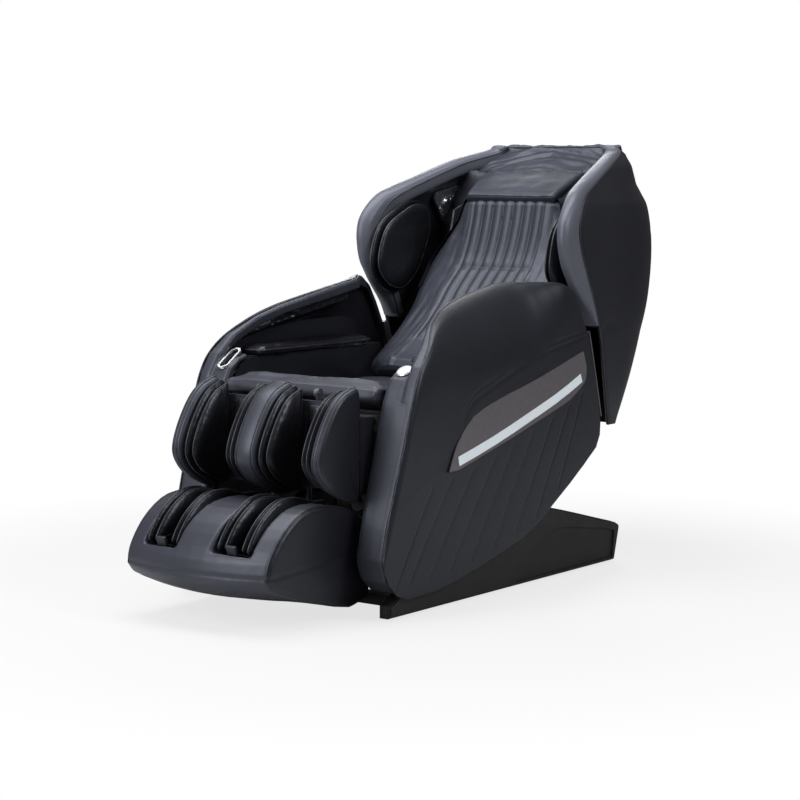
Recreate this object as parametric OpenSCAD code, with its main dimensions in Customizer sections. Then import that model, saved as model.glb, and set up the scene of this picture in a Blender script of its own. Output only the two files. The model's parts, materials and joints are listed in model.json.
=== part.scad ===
// Full-body massage chair, millimetres, +Z up.
// The chair faces -Y and its left side is +X. The origin is on the floor, under the middle of the
// outer box. Outlines are drawn on the chair's own datum, from which mid_y is taken off at the end.

/* [Overall] */
// Width over the two arms
chair_w = 770; // [660:5:930]
// Width of one arm, from its outer face to the seat side
arm_w = 109; // [96:1:130]
// Length of the side covers on the floor
base_l = 1122; // [940:2:1350]
// Wall of the moulded covers
cover_wall = 4; // [3:0.5:6]

/* [Base] */
// Gap between the outer face of an arm and the outer face of the base cover
base_inset = 28; // [26:1:40]
// Depth of the base cover across the chair
base_cover_d = 34; // [26:1:40]
// Height of the floor frame's rectangular tube
rail_h = 30; // [20:1:40]
// Width of the floor frame's rectangular tube
rail_w = 40; // [38:1:46]
// Height of the rubber feet
foot_h = 12; // [8:1:16]
// Radius of the rubber feet
foot_r = 18; // [12:1:24]
// Radius of the tilt pivot studs
tilt_pin_r = 8; // [6:0.5:12]
// Radius of the transport wheels
wheel_r = 20; // [15:1:22]
// Width of a transport wheel
wheel_w = 20; // [12:1:26]
// Radius of the transport wheels' axle
wheel_axle_r = 4; // [3:0.5:6]

/* [Seat] */
// Thickness of the pressed steel side plates
plate_t = 6; // [4:1:8]
// Gap between the seat cushion and each arm
cushion_gap = 9; // [6:1:15]
// Radius of the recline shaft
recline_shaft_r = 12; // [9:1:16]
// Radius of the leg hinge pins
leg_pin_r = 6; // [5:0.5:8]
// Thickness of the seat pan
pan_t = 8; // [5:1:12]

/* [Arms] */
// Wall of the side panel
panel_wall = 6; // [5:0.5:7]
// Depth of the recess that the side insert lies in
insert_t = 4; // [3:0.5:4.5]
// Width of the light strip
strip_w = 26; // [14:1:30]
// Radius of the control knob
knob_r = 22; // [16:1:24]
// Height of the control knob
knob_h = 11; // [8:1:14]
// Travel of the control keys
key_travel = 2; // [1:0.5:3]

/* [Back] */
// Wall of the back shell
shell_wall = 6; // [4:0.5:8]
// Thickness of a wing bolster
wing_t = 56; // [45:1:66]
// Thickness of the back pad
pad_t = 48; // [35:1:55]
// Number of quilted channels across the back pad
channels = 7; // [5:1:9]
// Half width of the quilted part of the back pad
quilt_half_w = 126; // [110:1:140]
// Length of the carriage guide rails
rail_l = 480; // [420:5:520]
// Radius of the lead screw
screw_r = 8; // [6:0.5:10]
// Radius of the kneading rollers
knead_r = 25; // [20:1:28]
// Width of the kneading rollers
knead_w = 26; // [18:1:32]

/* [Leg unit] */
// Half width of the calf and foot units
leg_half_w = 258; // [215:1:340]
// Thickness of a calf side wall without its air pad
calf_wall_t = 36; // [28:1:44]
// Thickness of each calf air pad
calf_pad_t = 42; // [24:1:46]
// Radius of the foot guide rods
guide_rod_r = 9; // [7:0.5:11]
// Longest extension of the footrest
foot_stroke = 120; // [60:5:140]
// Radius of the sole rollers
sole_roller_r = 15; // [10:1:18]

/* [Clearances] */
// Radial running clearance of shafts and pins
run_gap = 0.08; // [0.03:0.01:0.1]
// Gap between fixed covers and their neighbours
seam_gap = 0.4; // [0.3:0.1:1]
// Gap between the side panel's rim and the band inside it
band_gap = 2; // [1.2:0.1:3]
// Gap around pieces that move past each other
move_gap = 1.5; // [1:0.5:3]

/* [Hidden] */

// Half width of the chair and the inner face of an arm
half_w = chair_w / 2;
arm_in = half_w - arm_w;
// Foremost and rearmost points, and the datum's distance from the origin
front_y = -835;
rear_y = 887;
mid_y = (front_y + rear_y) / 2;
// Pivots, as [y, z]
tilt_pivot = [150, 200];
recline_pivot = [360, 390];
leg_pivot = [-425, 575];
// Ends of the three motor struts: [fixed end, moving end], as [y, z]
tilt_ends = [[-150, 62], [-60, 290]];
recline_ends = [[-60, 236], [320, 280]];
leg_ends = [[-100, 330], [-413, 505]];
// Places of the struts across the chair
tilt_x = 80;
recline_x = -80;
leg_x = 0;
// Outer face of the base covers and the seat frame's side plates
base_out = half_w - base_inset;
base_in = base_out - base_cover_d;
plate_x = arm_in - 14;
$fn = 48;

// ---- curves and lofts ----

function mix(a, b, t) = a + (b - a) * t;
function limit(v, low, high) = min(max(v, low), high);
function smooth(t) = let (u = limit(t, 0, 1)) u * u * (3 - 2 * u);
// One span of a Catmull-Rom curve, for points or rows of numbers
function span(a, b, c, d, t) = 0.5 * (2 * b + (c - a) * t + (2 * a - 5 * b + 4 * c - d) * t * t
    + (3 * b - a - 3 * c + d) * t * t * t);
function open_curve(p, n) = let (m = len(p)) concat(
    [for (i = [0 : m - 2], k = [0 : n - 1])
        span(p[max(i - 1, 0)], p[i], p[i + 1], p[min(i + 2, m - 1)], k / n)], [p[m - 1]]);
function closed_curve(p, n) = let (m = len(p))
    [for (i = [0 : m - 1], k = [0 : n - 1])
        span(p[(i + m - 1) % m], p[i], p[(i + 1) % m], p[(i + 2) % m], k / n)];
function backwards(p) = [for (i = [len(p) - 1 : -1 : 0]) p[i]];
function unit(v) = v / max(norm(v), 0.0001);
// Left-hand normal at each point of an open line of [a, b] points
function line_normal(p, i) = let (t = unit(p[min(i + 1, len(p) - 1)] - p[max(i - 1, 0)])) [-t.y, t.x];
function offset_line(p, d) = [for (i = [0 : len(p) - 1]) p[i] + line_normal(p, i) * d];
// A line thickened to its left by a wall, as one closed ring
function walled(p, wall) = concat(p, backwards(offset_line(p, wall)));
// A closed outline drawn in by d, for points that run counter-clockwise
function ring_normal(p, i) = let (m = len(p), t = unit(p[(i + 1) % m] - p[(i + m - 1) % m])) [-t.y, t.x];
function drawn_in(p, d) = [for (i = [0 : len(p) - 1]) p[i] + ring_normal(p, i) * d];
function six_volume(p, f) = len(f) == 0 ? 0 :
    [for (t = f) 1] * [for (t = f) p[t[0]] * cross(p[t[1]], p[t[2]])];

// A skin through rings of equal length, closed at both ends by flat or nearly flat fans
module loft(rings) {
    n = len(rings[0]);
    m = len(rings);
    mids = [for (r = [rings[0], rings[m - 1]]) [for (i = [0 : n - 1]) 1] * r / n];
    points = concat([for (r = rings, p = r) p], mids);
    sides = [for (j = [0 : m - 2], i = [0 : n - 1]) let (a = j * n + i, b = j * n + (i + 1) % n)
        each [[a, b, b + n], [a, b + n, a + n]]];
    ends = [for (i = [0 : n - 1]) each
        [[m * n, (i + 1) % n, i], [m * n + 1, (m - 1) * n + i, (m - 1) * n + (i + 1) % n]]];
    faces = concat(sides, ends);
    outward = six_volume(points, faces) < 0;
    polyhedron(points, outward ? faces : [for (f = faces) backwards(f)]);
}

// The same skin, whose end rings are any flat outline
module loft_flat(rings) {
    n = len(rings[0]);
    m = len(rings);
    points = [for (r = rings, p = r) p];
    sides = [for (j = [0 : m - 2], i = [0 : n - 1]) let (a = j * n + i, b = j * n + (i + 1) % n)
        each [[a, b, b + n], [a, b + n, a + n]]];
    faces = concat(sides, [[for (i = [n - 1 : -1 : 0]) i]], [[for (i = [0 : n - 1]) (m - 1) * n + i]]);
    outward = six_volume(points, sides) < 0;
    polyhedron(points, outward ? faces : [for (f = faces) backwards(f)]);
}

// Children drawn in the [y, z] plane and extruded across the chair from x0 to x1
module across(x0, x1) translate([x0, 0, 0]) rotate([90, 0, 90]) linear_extrude(x1 - x0) children();
// A round bar or bore along X at [y, z]
module rod(at, r, x0, x1) translate([x0, at[0], at[1]]) rotate([0, 90, 0]) cylinder(r = r, h = x1 - x0);
module box(low, high) translate(low) cube(high - low);
module centred() translate([0, -mid_y, 0]) children();
// The piece as drawn for the left side, or its mirror image
module on_side(s) {
    if (s > 0) children();
    else mirror([1, 0, 0]) children();
}
// A round-ended link between two [y, z] points
module link(a, b, r) {
    side = [a.y - b.y, b.x - a.x] / norm(b - a) * r;
    translate(a) circle(r);
    translate(b) circle(r);
    polygon([a + side, a - side, b - side, b + side]);
}
// A rounded outline with radius r at its corners
module rounded(r) offset(r, $fn = 24) offset(-r) children();

// ---- base ----

// Side view of a base cover: a low foot with a raised arch and a swept tail
base_front = -450;
base_rear = base_front + base_l;
base_side = concat([[base_front, 4], [base_rear - 25, 4]],
    open_curve([[base_rear, 95], [base_rear - 12, 113], [base_rear - 130, 144],
        [base_rear - 240, 172], [base_rear - 330, 194], [base_rear - 420, 214]], 3),
    open_curve([[60, 214], [-80, 190], [-220, 148], [-340, 96], [-420, 52],
        [base_front, 38]], 3));
module base_outline(r) offset(delta = -r) polygon(base_side);

module base_cover(s) on_side(s) difference() {
    union() {
        across(base_in, base_out - 8) base_outline(0);
        across(base_out - 8, base_out - 3) base_outline(2);
        across(base_out - 3, base_out) base_outline(6);
    }
    // hollow back, open towards the floor frame
    across(base_in - 1, base_out - cover_wall - 8) base_outline(cover_wall);
    // raised arch above the floor: the panel below the rib is set back
    across(base_out - 5, base_out + 1) arch_field();
}

// Panel field under the arch rib
module arch_field() polygon(concat([[118, 14]],
    open_curve([[118, 14], [165, 58], [222, 101], [290, 134], [350, 140], [441, 129], [600, 105]], 3),
    [[base_rear - 30, 92], [base_rear - 40, 14]]));

module base_cover_left() color("#17181a") centred() base_cover(1);
module base_cover_right() color("#17181a") centred() base_cover(-1);

// Bent cover that closes the tail between the two side covers
module base_rear_cover() color("#1b1c1e") centred() difference() {
    across(-base_in + seam_gap, base_in - seam_gap)
        polygon([[base_rear - 130, 136], [base_rear - 128, 141], [base_rear - 14, 110], [base_rear - 3, 95],
            [base_rear - 26, 8], [base_rear - 30, 8], [base_rear - 8, 94], [base_rear - 17, 106]]);
    // window for the power inlet
    box([-power_half_w + 4, base_rear - 60, power_z0 + 4], [power_half_w - 4, base_rear + 10, power_z1 - 4]);
}

rail_z0 = foot_h;
rail_z1 = foot_h + rail_h;
frame_front = -350;
frame_rear = base_rear - 75;
rail_out = base_in - 1;
bracket_x = arm_in + 6;

// Welded floor frame with the tilt brackets and their studs
module floor_frame() color("#2b2c2e") centred() {
    difference() {
        union() {
            for (s = [-1, 1]) on_side(s) {
                box([rail_out - rail_w, frame_front, rail_z0], [rail_out, frame_rear, rail_z1]);
                across(bracket_x, bracket_x + plate_t) polygon([[60, rail_z0 + 4], [240, rail_z0 + 4],
                    [tilt_pivot[0] + 26, tilt_pivot[1] - 10], [tilt_pivot[0] + 18, tilt_pivot[1] + 20],
                    [tilt_pivot[0] - 18, tilt_pivot[1] + 20], [tilt_pivot[0] - 26, tilt_pivot[1] - 10]]);
                // stud that the seat frame turns on, with its retaining head
                rod(tilt_pivot, tilt_pin_r, plate_x - 6, bracket_x + 1);
                rod(tilt_pivot, tilt_pin_r + 5, plate_x - 10, plate_x - seam_gap);
                // tabs that the side cover rests on
                for (y = [-300, 100, 500])
                    box([rail_out - 2, y, 4 + cover_wall + seam_gap], [base_in + 18, y + 40, rail_z0 + 3]);
                // ears for the transport wheel axle
                across(wheel_x + wheel_w + 2, wheel_x + wheel_w + 6)
                    polygon([[frame_rear - 30, rail_z0 + 2], [wheel_y + 12, rail_z0 + 2],
                        [wheel_y + 12, wheel_z + 12], [wheel_y - 12, rail_z1], [frame_rear - 30, rail_z1]]);
            }
            for (y = [frame_front, 60, frame_rear - rail_w])
                box([-rail_out + 1, y, rail_z0], [rail_out - 1, y + rail_w, rail_z1]);
            // lugs of the tilt strut on their own cross bar
            box([-rail_out + 1, tilt_ends[0][0] - 14, rail_z0],
                [rail_out - 1, tilt_ends[0][0] + 14, rail_z1]);
            strut_lugs(tilt_ends[0], tilt_x, rail_z1 - 2);
            // carrier of the power box
            box([-power_half_w + 10, frame_rear - rail_w, rail_z1 - 4],
                [power_half_w - 10, frame_rear + 14, rail_z1]);
        }
        rod([wheel_y, wheel_z], wheel_axle_r + run_gap, -base_in, base_in);
    }
}

// Two upright lugs either side of a strut's eye, with the pin through both
lug_gap = 11;
lug_t = 5;
module strut_lugs(at, x, floor_z) {
    for (s = [-1, 1]) translate([x + s * (lug_gap + lug_t / 2) - lug_t / 2, 0, 0])
        across(0, lug_t) {
            translate(at) circle(12);
            translate([at[0] - 12, floor_z]) square([24, at[1] - floor_z]);
        }
    rod(at, strut_pin_r, x - lug_gap - 1, x + lug_gap + 1);
}

wheel_y = base_rear - 50;
wheel_z = wheel_r + 2;
wheel_x = 210;

// Pair of wheels on one axle, clear of the floor until the chair is tipped back
module transport_wheels() color("#202124") centred() {
    for (s = [-1, 1]) on_side(s) translate([wheel_x, wheel_y, wheel_z]) rotate([0, 90, 0])
        rotate_extrude() polygon([[wheel_axle_r - 1, 0], [wheel_r - 3, 0], [wheel_r, 4],
            [wheel_r, wheel_w - 4], [wheel_r - 3, wheel_w], [wheel_axle_r - 1, wheel_w]]);
    rod([wheel_y, wheel_z], wheel_axle_r, -wheel_x - wheel_w - 8, wheel_x + wheel_w + 8);
}

module rubber_feet() color("#101010") centred() for (s = [-1, 1], y = [frame_front + 20, frame_rear - 40])
    translate([s * (rail_out - rail_w / 2), y, 0]) rotate_extrude()
        polygon([[0, 0], [foot_r - 3, 0], [foot_r, 3], [foot_r - 2, foot_h], [0, foot_h]]);

power_half_w = 62;
power_z0 = rail_z1;
power_z1 = rail_z1 + 52;
switch_at = [30, base_rear - 30, power_z0 + 26];
switch_r = 9;

// Box with the mains inlet, its three flat contacts and the pocket of the rocker switch
module power_box() color("#26272a") centred() {
    back = base_rear - 24;
    difference() {
        box([-power_half_w + 5, frame_rear + 4, power_z0], [power_half_w - 5, back, power_z1 - 6]);
        box([-44, back - 18, power_z0 + 14], [-14, back + 1, power_z0 + 36]);
        rod([switch_at[1], switch_at[2]], switch_r + 0.6, switch_at[0] - 13, switch_at[0] + 13);
        box(switch_at - [13, 0, 9], [switch_at[0] + 13, back + 1, switch_at[2] + 9]);
    }
    for (p = [[-35, 22], [-29, 28], [-23, 22]])
        box([p[0] - 1, back - 18, power_z0 + p[1] - 3], [p[0] + 1, back - 4, power_z0 + p[1] + 3]);
    // trunnions of the rocker
    for (s = [-1, 1])
        rod([switch_at[1], switch_at[2]], 2, switch_at[0] + 11 * s - 2, switch_at[0] + 11 * s + 2);
}

module mains_switch() color("#b0201c") centred() difference() {
    intersection() {
        rod([switch_at[1], switch_at[2]], switch_r, switch_at[0] - 12, switch_at[0] + 12);
        translate(switch_at) rotate([8, 0, 0])
            box([-12, -5, -7.5], [12, 20, 7.5]);
    }
    rod([switch_at[1], switch_at[2]], 2 + run_gap, switch_at[0] - 13, switch_at[0] + 13);
}

// ---- struts of the three motors ----

strut_r = 17;
strut_rod_r = 7;
strut_pin_r = 5;
strut_tube_r = 11;

// Distance and angle between a strut's two ends
function strut_len(e) = norm(e[1] - e[0]);
function strut_angle(e) = atan2(e[1][1] - e[0][1], e[1][0] - e[0][0]);
module along_strut(e, x) translate([x, e[0][0], e[0][1]]) rotate([strut_angle(e), 0, 0]) children();

// Motor with its gearbox and outer tube, on an eye at the fixed end
module strut_motor(e, x, tube_l) along_strut(e, x) difference() {
    union() {
        rotate([0, 90, 0]) cylinder(r = 10, h = 2 * lug_gap - 3, center = true);
        translate([0, 6, 0]) rotate([-90, 0, 0]) cylinder(r = 9, h = 22);
        translate([-19, 26, -20]) cube([38, 46, 40]);
        translate([0, 20, -26]) rotate([-90, 0, 0]) cylinder(r = strut_r + 2, h = 84);
        translate([0, 60, 0]) rotate([-90, 0, 0]) cylinder(r = strut_tube_r, h = tube_l - 60);
    }
    rotate([0, 90, 0]) cylinder(r = strut_pin_r + run_gap, h = 60, center = true);
    translate([0, 74, 0]) rotate([-90, 0, 0]) cylinder(r = strut_rod_r + run_gap, h = tube_l);
}

// Push rod with the eye whose pivot stays open
module strut_push_rod(e, x, start) along_strut(e, x) difference() {
    union() {
        translate([0, start, 0]) rotate([-90, 0, 0]) cylinder(r = strut_rod_r, h = strut_len(e) - start - 6);
        translate([0, strut_len(e), 0]) rotate([0, 90, 0])
            cylinder(r = 10, h = 2 * lug_gap - 6, center = true);
    }
    translate([0, strut_len(e), 0]) rotate([0, 90, 0]) cylinder(r = strut_pin_r, h = 60, center = true);
}

module tilt_motor() color("#55585c") centred() strut_motor(tilt_ends, tilt_x, 180);
module tilt_rod() color("#b9bcc0") centred() strut_push_rod(tilt_ends, tilt_x, 84);
module recline_motor() color("#55585c") centred() strut_motor(recline_ends, recline_x, 250);
module recline_rod() color("#b9bcc0") centred() strut_push_rod(recline_ends, recline_x, 140);
module leg_motor() color("#55585c") centred() strut_motor(leg_ends, leg_x, 250);
module leg_rod() color("#b9bcc0") centred() strut_push_rod(leg_ends, leg_x, 84);

// ---- seat ----

// Open fork for a push rod's eye: two lugs with a bore each, no pin
module fork(at, x, towards) difference() {
    for (s = [-1, 1]) translate([x + s * (lug_gap + lug_t / 2) - lug_t / 2, 0, 0])
        across(0, lug_t) link(at, towards, 11);
    rod(at, strut_pin_r, x - 30, x + 30);
}

seat_tube_r = 14;
front_tube = [-362, 511];
mid_tube = [-60, 330];
rear_tube = [250, 420];

module seat_frame() color("#303236") centred() difference() {
    union() {
        for (s = [-1, 1]) on_side(s) {
            across(plate_x, plate_x + plate_t) polygon([[-384, 480], [-384, 524], [-345, 523], [-290, 502.6],
                [-220, 482.6], [-100, 474.6], [20, 472.6], [120, 472.6], [212, 474.6], [300, 466],
                [400, 420], [394, 366], [330, 350], [240, 330], [196, 180], [150, 168],
                [104, 180], [60, 290], [-100, 330], [-240, 400]]);
            rod(tilt_pivot, tilt_pin_r + 8, plate_x, plate_x + plate_t + 2);
            // spacers that carry the arms
            for (p = [[-250, 436], [20, 400], [250, 430]])
                rod(p, 12, plate_x + plate_t - 1, arm_in - seam_gap);
        }
        for (p = [front_tube, rear_tube]) rod(p, seat_tube_r, -plate_x - 1, plate_x + 1);
        // cross bar under the seat that carries the struts
        box([-plate_x - 1, mid_tube[0] - 14, mid_tube[1] - 12],
            [plate_x + 1, mid_tube[0] + 14, mid_tube[1] + 16]);
        fork(tilt_ends[1], tilt_x, mid_tube);
        strut_mount(recline_ends[0], recline_x);
        strut_mount(leg_ends[0], leg_x);
        // lugs of the leg hinge
        for (s = [-1, 1]) on_side(s) across(leg_lug_x, leg_lug_x + 8) link(front_tube, leg_pivot, 10);
    }
    for (s = [-1, 1]) on_side(s) {
        rod(tilt_pivot, tilt_pin_r + run_gap, plate_x - 1, plate_x + plate_t + 3);
        rod(recline_pivot, recline_shaft_r + run_gap, plate_x - 1, plate_x + plate_t + 1);
        rod(leg_pivot, leg_pin_r + run_gap, leg_lug_x - 1, leg_lug_x + 9);
    }
}

leg_lug_x = 92;

// Lugs on the cross bar for a motor's fixed end, with the pin through both
module strut_mount(at, x) {
    for (s = [-1, 1]) translate([x + s * (lug_gap + lug_t / 2) - lug_t / 2, 0, 0])
        across(0, lug_t) link(at, mid_tube, 11);
    rod(at, strut_pin_r, x - lug_gap - 1, x + lug_gap + 1);
}

// Seat rows from front to rear: [y, top, underside]
seat_rows = [[-392, 580, 562], [-388, 596, 556], [-372, 605, 546], [-340, 606, 530], [-290, 595, 512],
    [-220, 578, 492], [-100, 561, 484], [20, 552, 482], [120, 549, 482], [210, 548, 484], [262, 540, 490]];
cushion_half_w = arm_in - cushion_gap;

// Moulded tray under the cushion, with a turned-up rim at the rear and side ribs
module seat_pan() color("#2a2b2e") centred() {
    under = [for (r = seat_rows) if (r[0] >= -340 && r[0] <= 212) [r[0], r[2] - seam_gap]];
    across(-cushion_half_w + 4, cushion_half_w - 4)
        polygon(concat(under, backwards([for (p = under) [p[0], p[1] - pan_t]])));
    for (s = [-1, 1]) on_side(s) across(plate_x - 30, plate_x - 24)
        polygon([[-190, 482], [200, 476], [200, 469], [-190, 472]]);
}

// One cross-section of the seat cushion: softly crowned top, drawn-in sides
function seat_ring(r) = let (w = cushion_half_w, top = r[1], low = r[2], h = top - low)
    [for (p = [[-0.94, 0], [-0.5, 0], [0, 0], [0.5, 0], [0.94, 0], [1, 0.25], [0.985, 0.55], [1, 0.78],
        [0.93, 0.95], [0.6, 1.0], [0.3, 0.97], [0, 0.96], [-0.3, 0.97], [-0.6, 1.0], [-0.93, 0.95],
        [-1, 0.78],
        [-0.985, 0.55], [-1, 0.25]]) [w * p[0], r[0], low + h * p[1]]];
module seat_cushion() color("#3a3b40") centred() loft([for (r = open_curve(seat_rows, 1)) seat_ring(r)]);

module air_pump() color("#3f4145") centred() {
    box([140, -300, 420], [230, -170, 462]);
    for (y = [-270, -200]) translate([160, y, 420]) rotate([0, 180, 0]) cylinder(r = 24, h = 18);
    // hangers to the side plate
    box([229, -280, 450], [plate_x - seam_gap, -190, 456]);
}
module control_box() color("#4a4d52") centred() {
    box([-236, -120, 395], [-140, 90, 440]);
    for (y = [-90, 60]) box([-plate_x + seam_gap, y - 10, 410], [-235, y + 10, 420]);
    for (k = [0 : 5]) box([-225 + 14 * k, -110, 439], [-220 + 14 * k, 80, 446]);
}

// ---- arms ----

// Arm rows from front to rear: [y, top edge, rim inset from the outer face, curl height]
arm_rows = [[-492, 160, 9, 12], [-472, 243, 9, 34], [-443, 340, 9, 40], [-412, 445, 9, 40],
    [-397, 500, 9, 40], [-381, 550, 9, 45], [-363, 600, 10, 55], [-332, 650, 14, 80], [-279, 700, 30, 120],
    [-206, 750, 74, 170], [-133, 780, 104, 190], [-53, 800, 124, 200], [48, 820, 135, 210],
    [168, 840, 135, 210], [230, 843, 95, 190], [290, 842, 50, 150], [341, 835, 18, 100], [384, 808, 12, 60],
    [417, 759, 11, 50], [439, 717, 11, 45], [452, 690, 11, 30], [470, 630, 11, 20], [492, 550, 11, 16],
    [520, 440, 11, 12]];
// Lower edge of the side panel, as [y, z] pairs
arm_low = [[-494, 138], [-472, 97], [-437, 64], [-388, 49], [-270, 53], [-166, 67], [-50, 92], [50, 115],
    [142, 138], [223, 172], [301, 220], [378, 266], [442, 309], [503, 355], [522, 396]];
tuck = 13;
tuck_top = 560;
tuck_h = 420;

// Outer face of the panel at a height: flat above, tucked in towards the floor
function face_x(z) = half_w - tuck * smooth((tuck_top - z) / tuck_h);
function rim_x(r) = face_x(r[1]) - r[2];
// Line of the panel's cross-section at one row, from its lower edge up over the curl:
// the outer face, or the inner one, a wall's thickness inside it
function panel_line(r, wall, steps) = let (low = lookup(r[0], arm_low), curl = min(r[3], 0.7 * (r[1] - low)),
        start = r[1] - curl, depth = face_x(start) - rim_x(r))
    concat([[face_x(low) - 3 - wall, low]],
        [for (t = steps) let (z = mix(low + 6, start, t)) [face_x(z) - wall, z]],
        [for (a = [0 : 18 : 90])
            [face_x(start) - wall - (depth - wall) * (1 - cos(a)), start + (curl - wall) * sin(a)]]);
// Places up the outer face where the left and the right panel are cut into facets
panel_steps = [[0, 0.3, 0.6, 0.9], [0, 0.33, 0.66, 0.94]];
function panel_ring(r, steps) =
    [for (p = concat(panel_line(r, 0, steps), backwards(panel_line(r, panel_wall, steps))))
        [p[0], r[0], p[1]]];

module arm_panel(s) on_side(s) difference() {
    loft_flat([for (r = arm_rows) panel_ring(r, panel_steps[s > 0 ? 0 : 1])]);
    across(half_w - insert_t - seam_gap, half_w + 1) offset(delta = seam_gap) insert_outline();
}
module arm_panel_left() color("#2e3036") centred() arm_panel(1);
module arm_panel_right() color("#2e3036") centred() arm_panel(-1);

// Swept blade of the side insert
insert_top = [[-229, 366], [-193, 435], [-114, 505], [12, 543], [161, 575], [280, 605],
    [380, 632], [421, 642]];
insert_low = [[438, 600], [432, 556], [356, 510], [258, 481], [162, 455], [68, 430],
    [-69, 396], [-184, 368]];
module insert_outline() polygon(concat(open_curve(insert_top, 2), open_curve(insert_low, 2)));
// The strip follows the insert's lower edge
strip_line = open_curve([[-186, 390], [-100, 410], [-24, 429], [60, 452], [138, 475], [210, 496], [282, 518],
    [350, 542], [412, 566]], 1);
module strip_outline(grow) polygon(concat(offset_line(strip_line, grow + strip_w / 2),
    backwards(offset_line(strip_line, -grow - strip_w / 2))));

module side_insert(s) on_side(s) difference() {
    across(half_w - insert_t, half_w) insert_outline();
    across(half_w - insert_t - 1, half_w + 1) intersection() {
        strip_outline(seam_gap);
        offset(delta = -3) insert_outline();
    }
}
module side_inserts() color("#665c60") centred() {
    side_insert(1);
    side_insert(-1);
}
module light_strips() color("#dfe5ef") centred() for (s = [-1, 1]) on_side(s)
    across(half_w - insert_t, half_w) intersection() {
        strip_outline(0);
        offset(delta = -3 - seam_gap) insert_outline();
    }

// Slim trim behind the panel's rear edge
rear_edge = offset_line([for (r = arm_rows) if (r[0] >= 452) [r[0], r[1]]], seam_gap);
module rear_trims() color("#4b4a4f") centred() for (s = [-1, 1]) on_side(s) difference() {
    across(half_w - 26, half_w - 10) polygon(walled(rear_edge, 18));
    across(half_w - 20, half_w - 9) polygon(walled(offset_line(rear_edge, 5), 8));
}

// Inner face of the arm's upper wall at its front
wall_in = half_w - 52;
// Front band rows over the arm's nose and onto the deck: [y, z, inner x, outer x, thickness]
nose_rows = concat([[-436, 70, arm_in, face_x(70) - 9 - band_gap, 30],
    [-474, 104, arm_in, face_x(104) - 9 - band_gap, 38]],
    [for (r = arm_rows) if (r[1] <= 550 && r[0] < 0)
        [r[0], r[1], arm_in, rim_x(r) - band_gap, r[1] < 480 ? 40 : 36]],
    [[-363, 590, arm_in, wall_in - 1, 28], [-346, 618, arm_in, wall_in - 1, 22],
    [-315, 639, arm_in, wall_in - 1, 16], [-278, 648, arm_in, wall_in - 1, 12]]);
// Band rows up the front of the wall and along the crest: [y, z, inner x, outer x, thickness]
crest_rows = [for (r = arm_rows) if (r[0] >= -381 && r[0] <= 452)
    let (t = smooth((r[0] + 340) / 160), x = rim_x(r) - band_gap)
    [r[0], r[1], x - mix(38, 16, t), x, mix(26, r[0] > 350 ? 18 : 30, t)]];

// Rounded cross-section of a band at one row, along the outline's inward normal
function band_ring(rows, i) = let (r = rows[i], m = len(rows) - 1,
        t = unit([for (k = [0, 1]) rows[min(i + 1, m)][k] - rows[max(i - 1, 0)][k]]), n = [t.y, -t.x],
        c = min(6, r[4] / 3))
    [for (p = [[r[2], c], [r[2] + c, 0], [mix(r[2], r[3], 0.5), -0.5], [r[3] - 2, 0], [r[3], 2],
        [r[3], r[4]], [r[2] + 2, r[4]], [r[2], r[4] - 2]]) [p[0], r[0] + n[0] * p[1], r[1] + n[1] * p[1]]];
module band(rows) loft([for (i = [0 : len(rows) - 1]) band_ring(rows, i)]);

knob_at = [(arm_in + wall_in) / 2, -316, 632];
knob_lean = 33;
knob_seat = 3;
key_at = [(arm_in + wall_in) / 2, -262, 650];

module arm_band(s) on_side(s) difference() {
    union() {
        band(nose_rows);
        band(crest_rows);
    }
    if (s > 0) at_knob() {
        translate([0, 0, -30]) cylinder(r = 6 + run_gap, h = 60);
        translate([0, 0, knob_seat - 0.6]) cylinder(r = knob_r + 1, h = 40);
    } else at_knob() {
        translate([0, 0, -40]) linear_extrude(80) pocket_outline(0);
        translate([0, 0, knob_seat - seam_gap]) linear_extrude(40) pocket_outline(6 + seam_gap);
    }
}
module at_knob() translate(knob_at) rotate([knob_lean, 0, 0]) children();
module arm_band_left() color("#565b66") centred() arm_band(1);
module arm_band_right() color("#565b66") centred() arm_band(-1);

// Slot-shaped pocket mouth, longer down the slope than across
pocket_l = 78;
pocket_w = 24;
module pocket_outline(grow) hull() for (y = [-1, 1])
    translate([0, y * (pocket_l - pocket_w) / 2]) circle(pocket_w / 2 + grow, $fn = 32);
module pocket_bezel() color("#c9ccd2") centred() on_side(-1) at_knob() translate([0, 0, knob_seat])
    difference() {
        linear_extrude(6) pocket_outline(6);
        translate([0, 0, -1]) linear_extrude(8) pocket_outline(0);
    }

deck_z = 640;
deck_t = 10;
deck_rear = 330;
// Inner side wall, arm-rest deck, the wall behind the forearm flap and the ribs of the outer panel
rib_x = face_x(440) - panel_wall - seam_gap;
module arm_inner(s) on_side(s) difference() {
    union() {
        across(arm_in, arm_in + 5) polygon([[-335, 560], [-325, 590], [-308, 618], [-286, 632],
            [-262, deck_z - 2], [deck_rear, deck_z - 2], [deck_rear, 330], [250, 300], [40, 290],
            [-120, 200], [-380, 104], [-434, 150], [-380, 390], [-350, 500]]);
        box([arm_in, -262, deck_z - deck_t], [half_w - 16, deck_rear, deck_z]);
        for (y = [-200, 20, 240]) box([arm_in + 4, y, 450], [rib_x, y + 6, 590]);
        for (y = [-200, 20, 240]) box([arm_in + 4, y, 580], [half_w - 30, y + 6, deck_z - 5]);
        across(flap_wall_x, flap_wall_x + 6) polygon([[-250, deck_z - 2], [-250, 672], [-200, 686],
            [-100, 708], [50, 720], [240, 722], [300, 704], [300, deck_z - 2]]);
    }
    if (s > 0) {
        at_knob() translate([0, 0, -30]) cylinder(r = 6 + run_gap, h = 60);
        translate(key_at) box([-16.6, -8.6, -30], [16.6, 8.6, 10]);
    }
}
flap_wall_x = half_w - 35;
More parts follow.
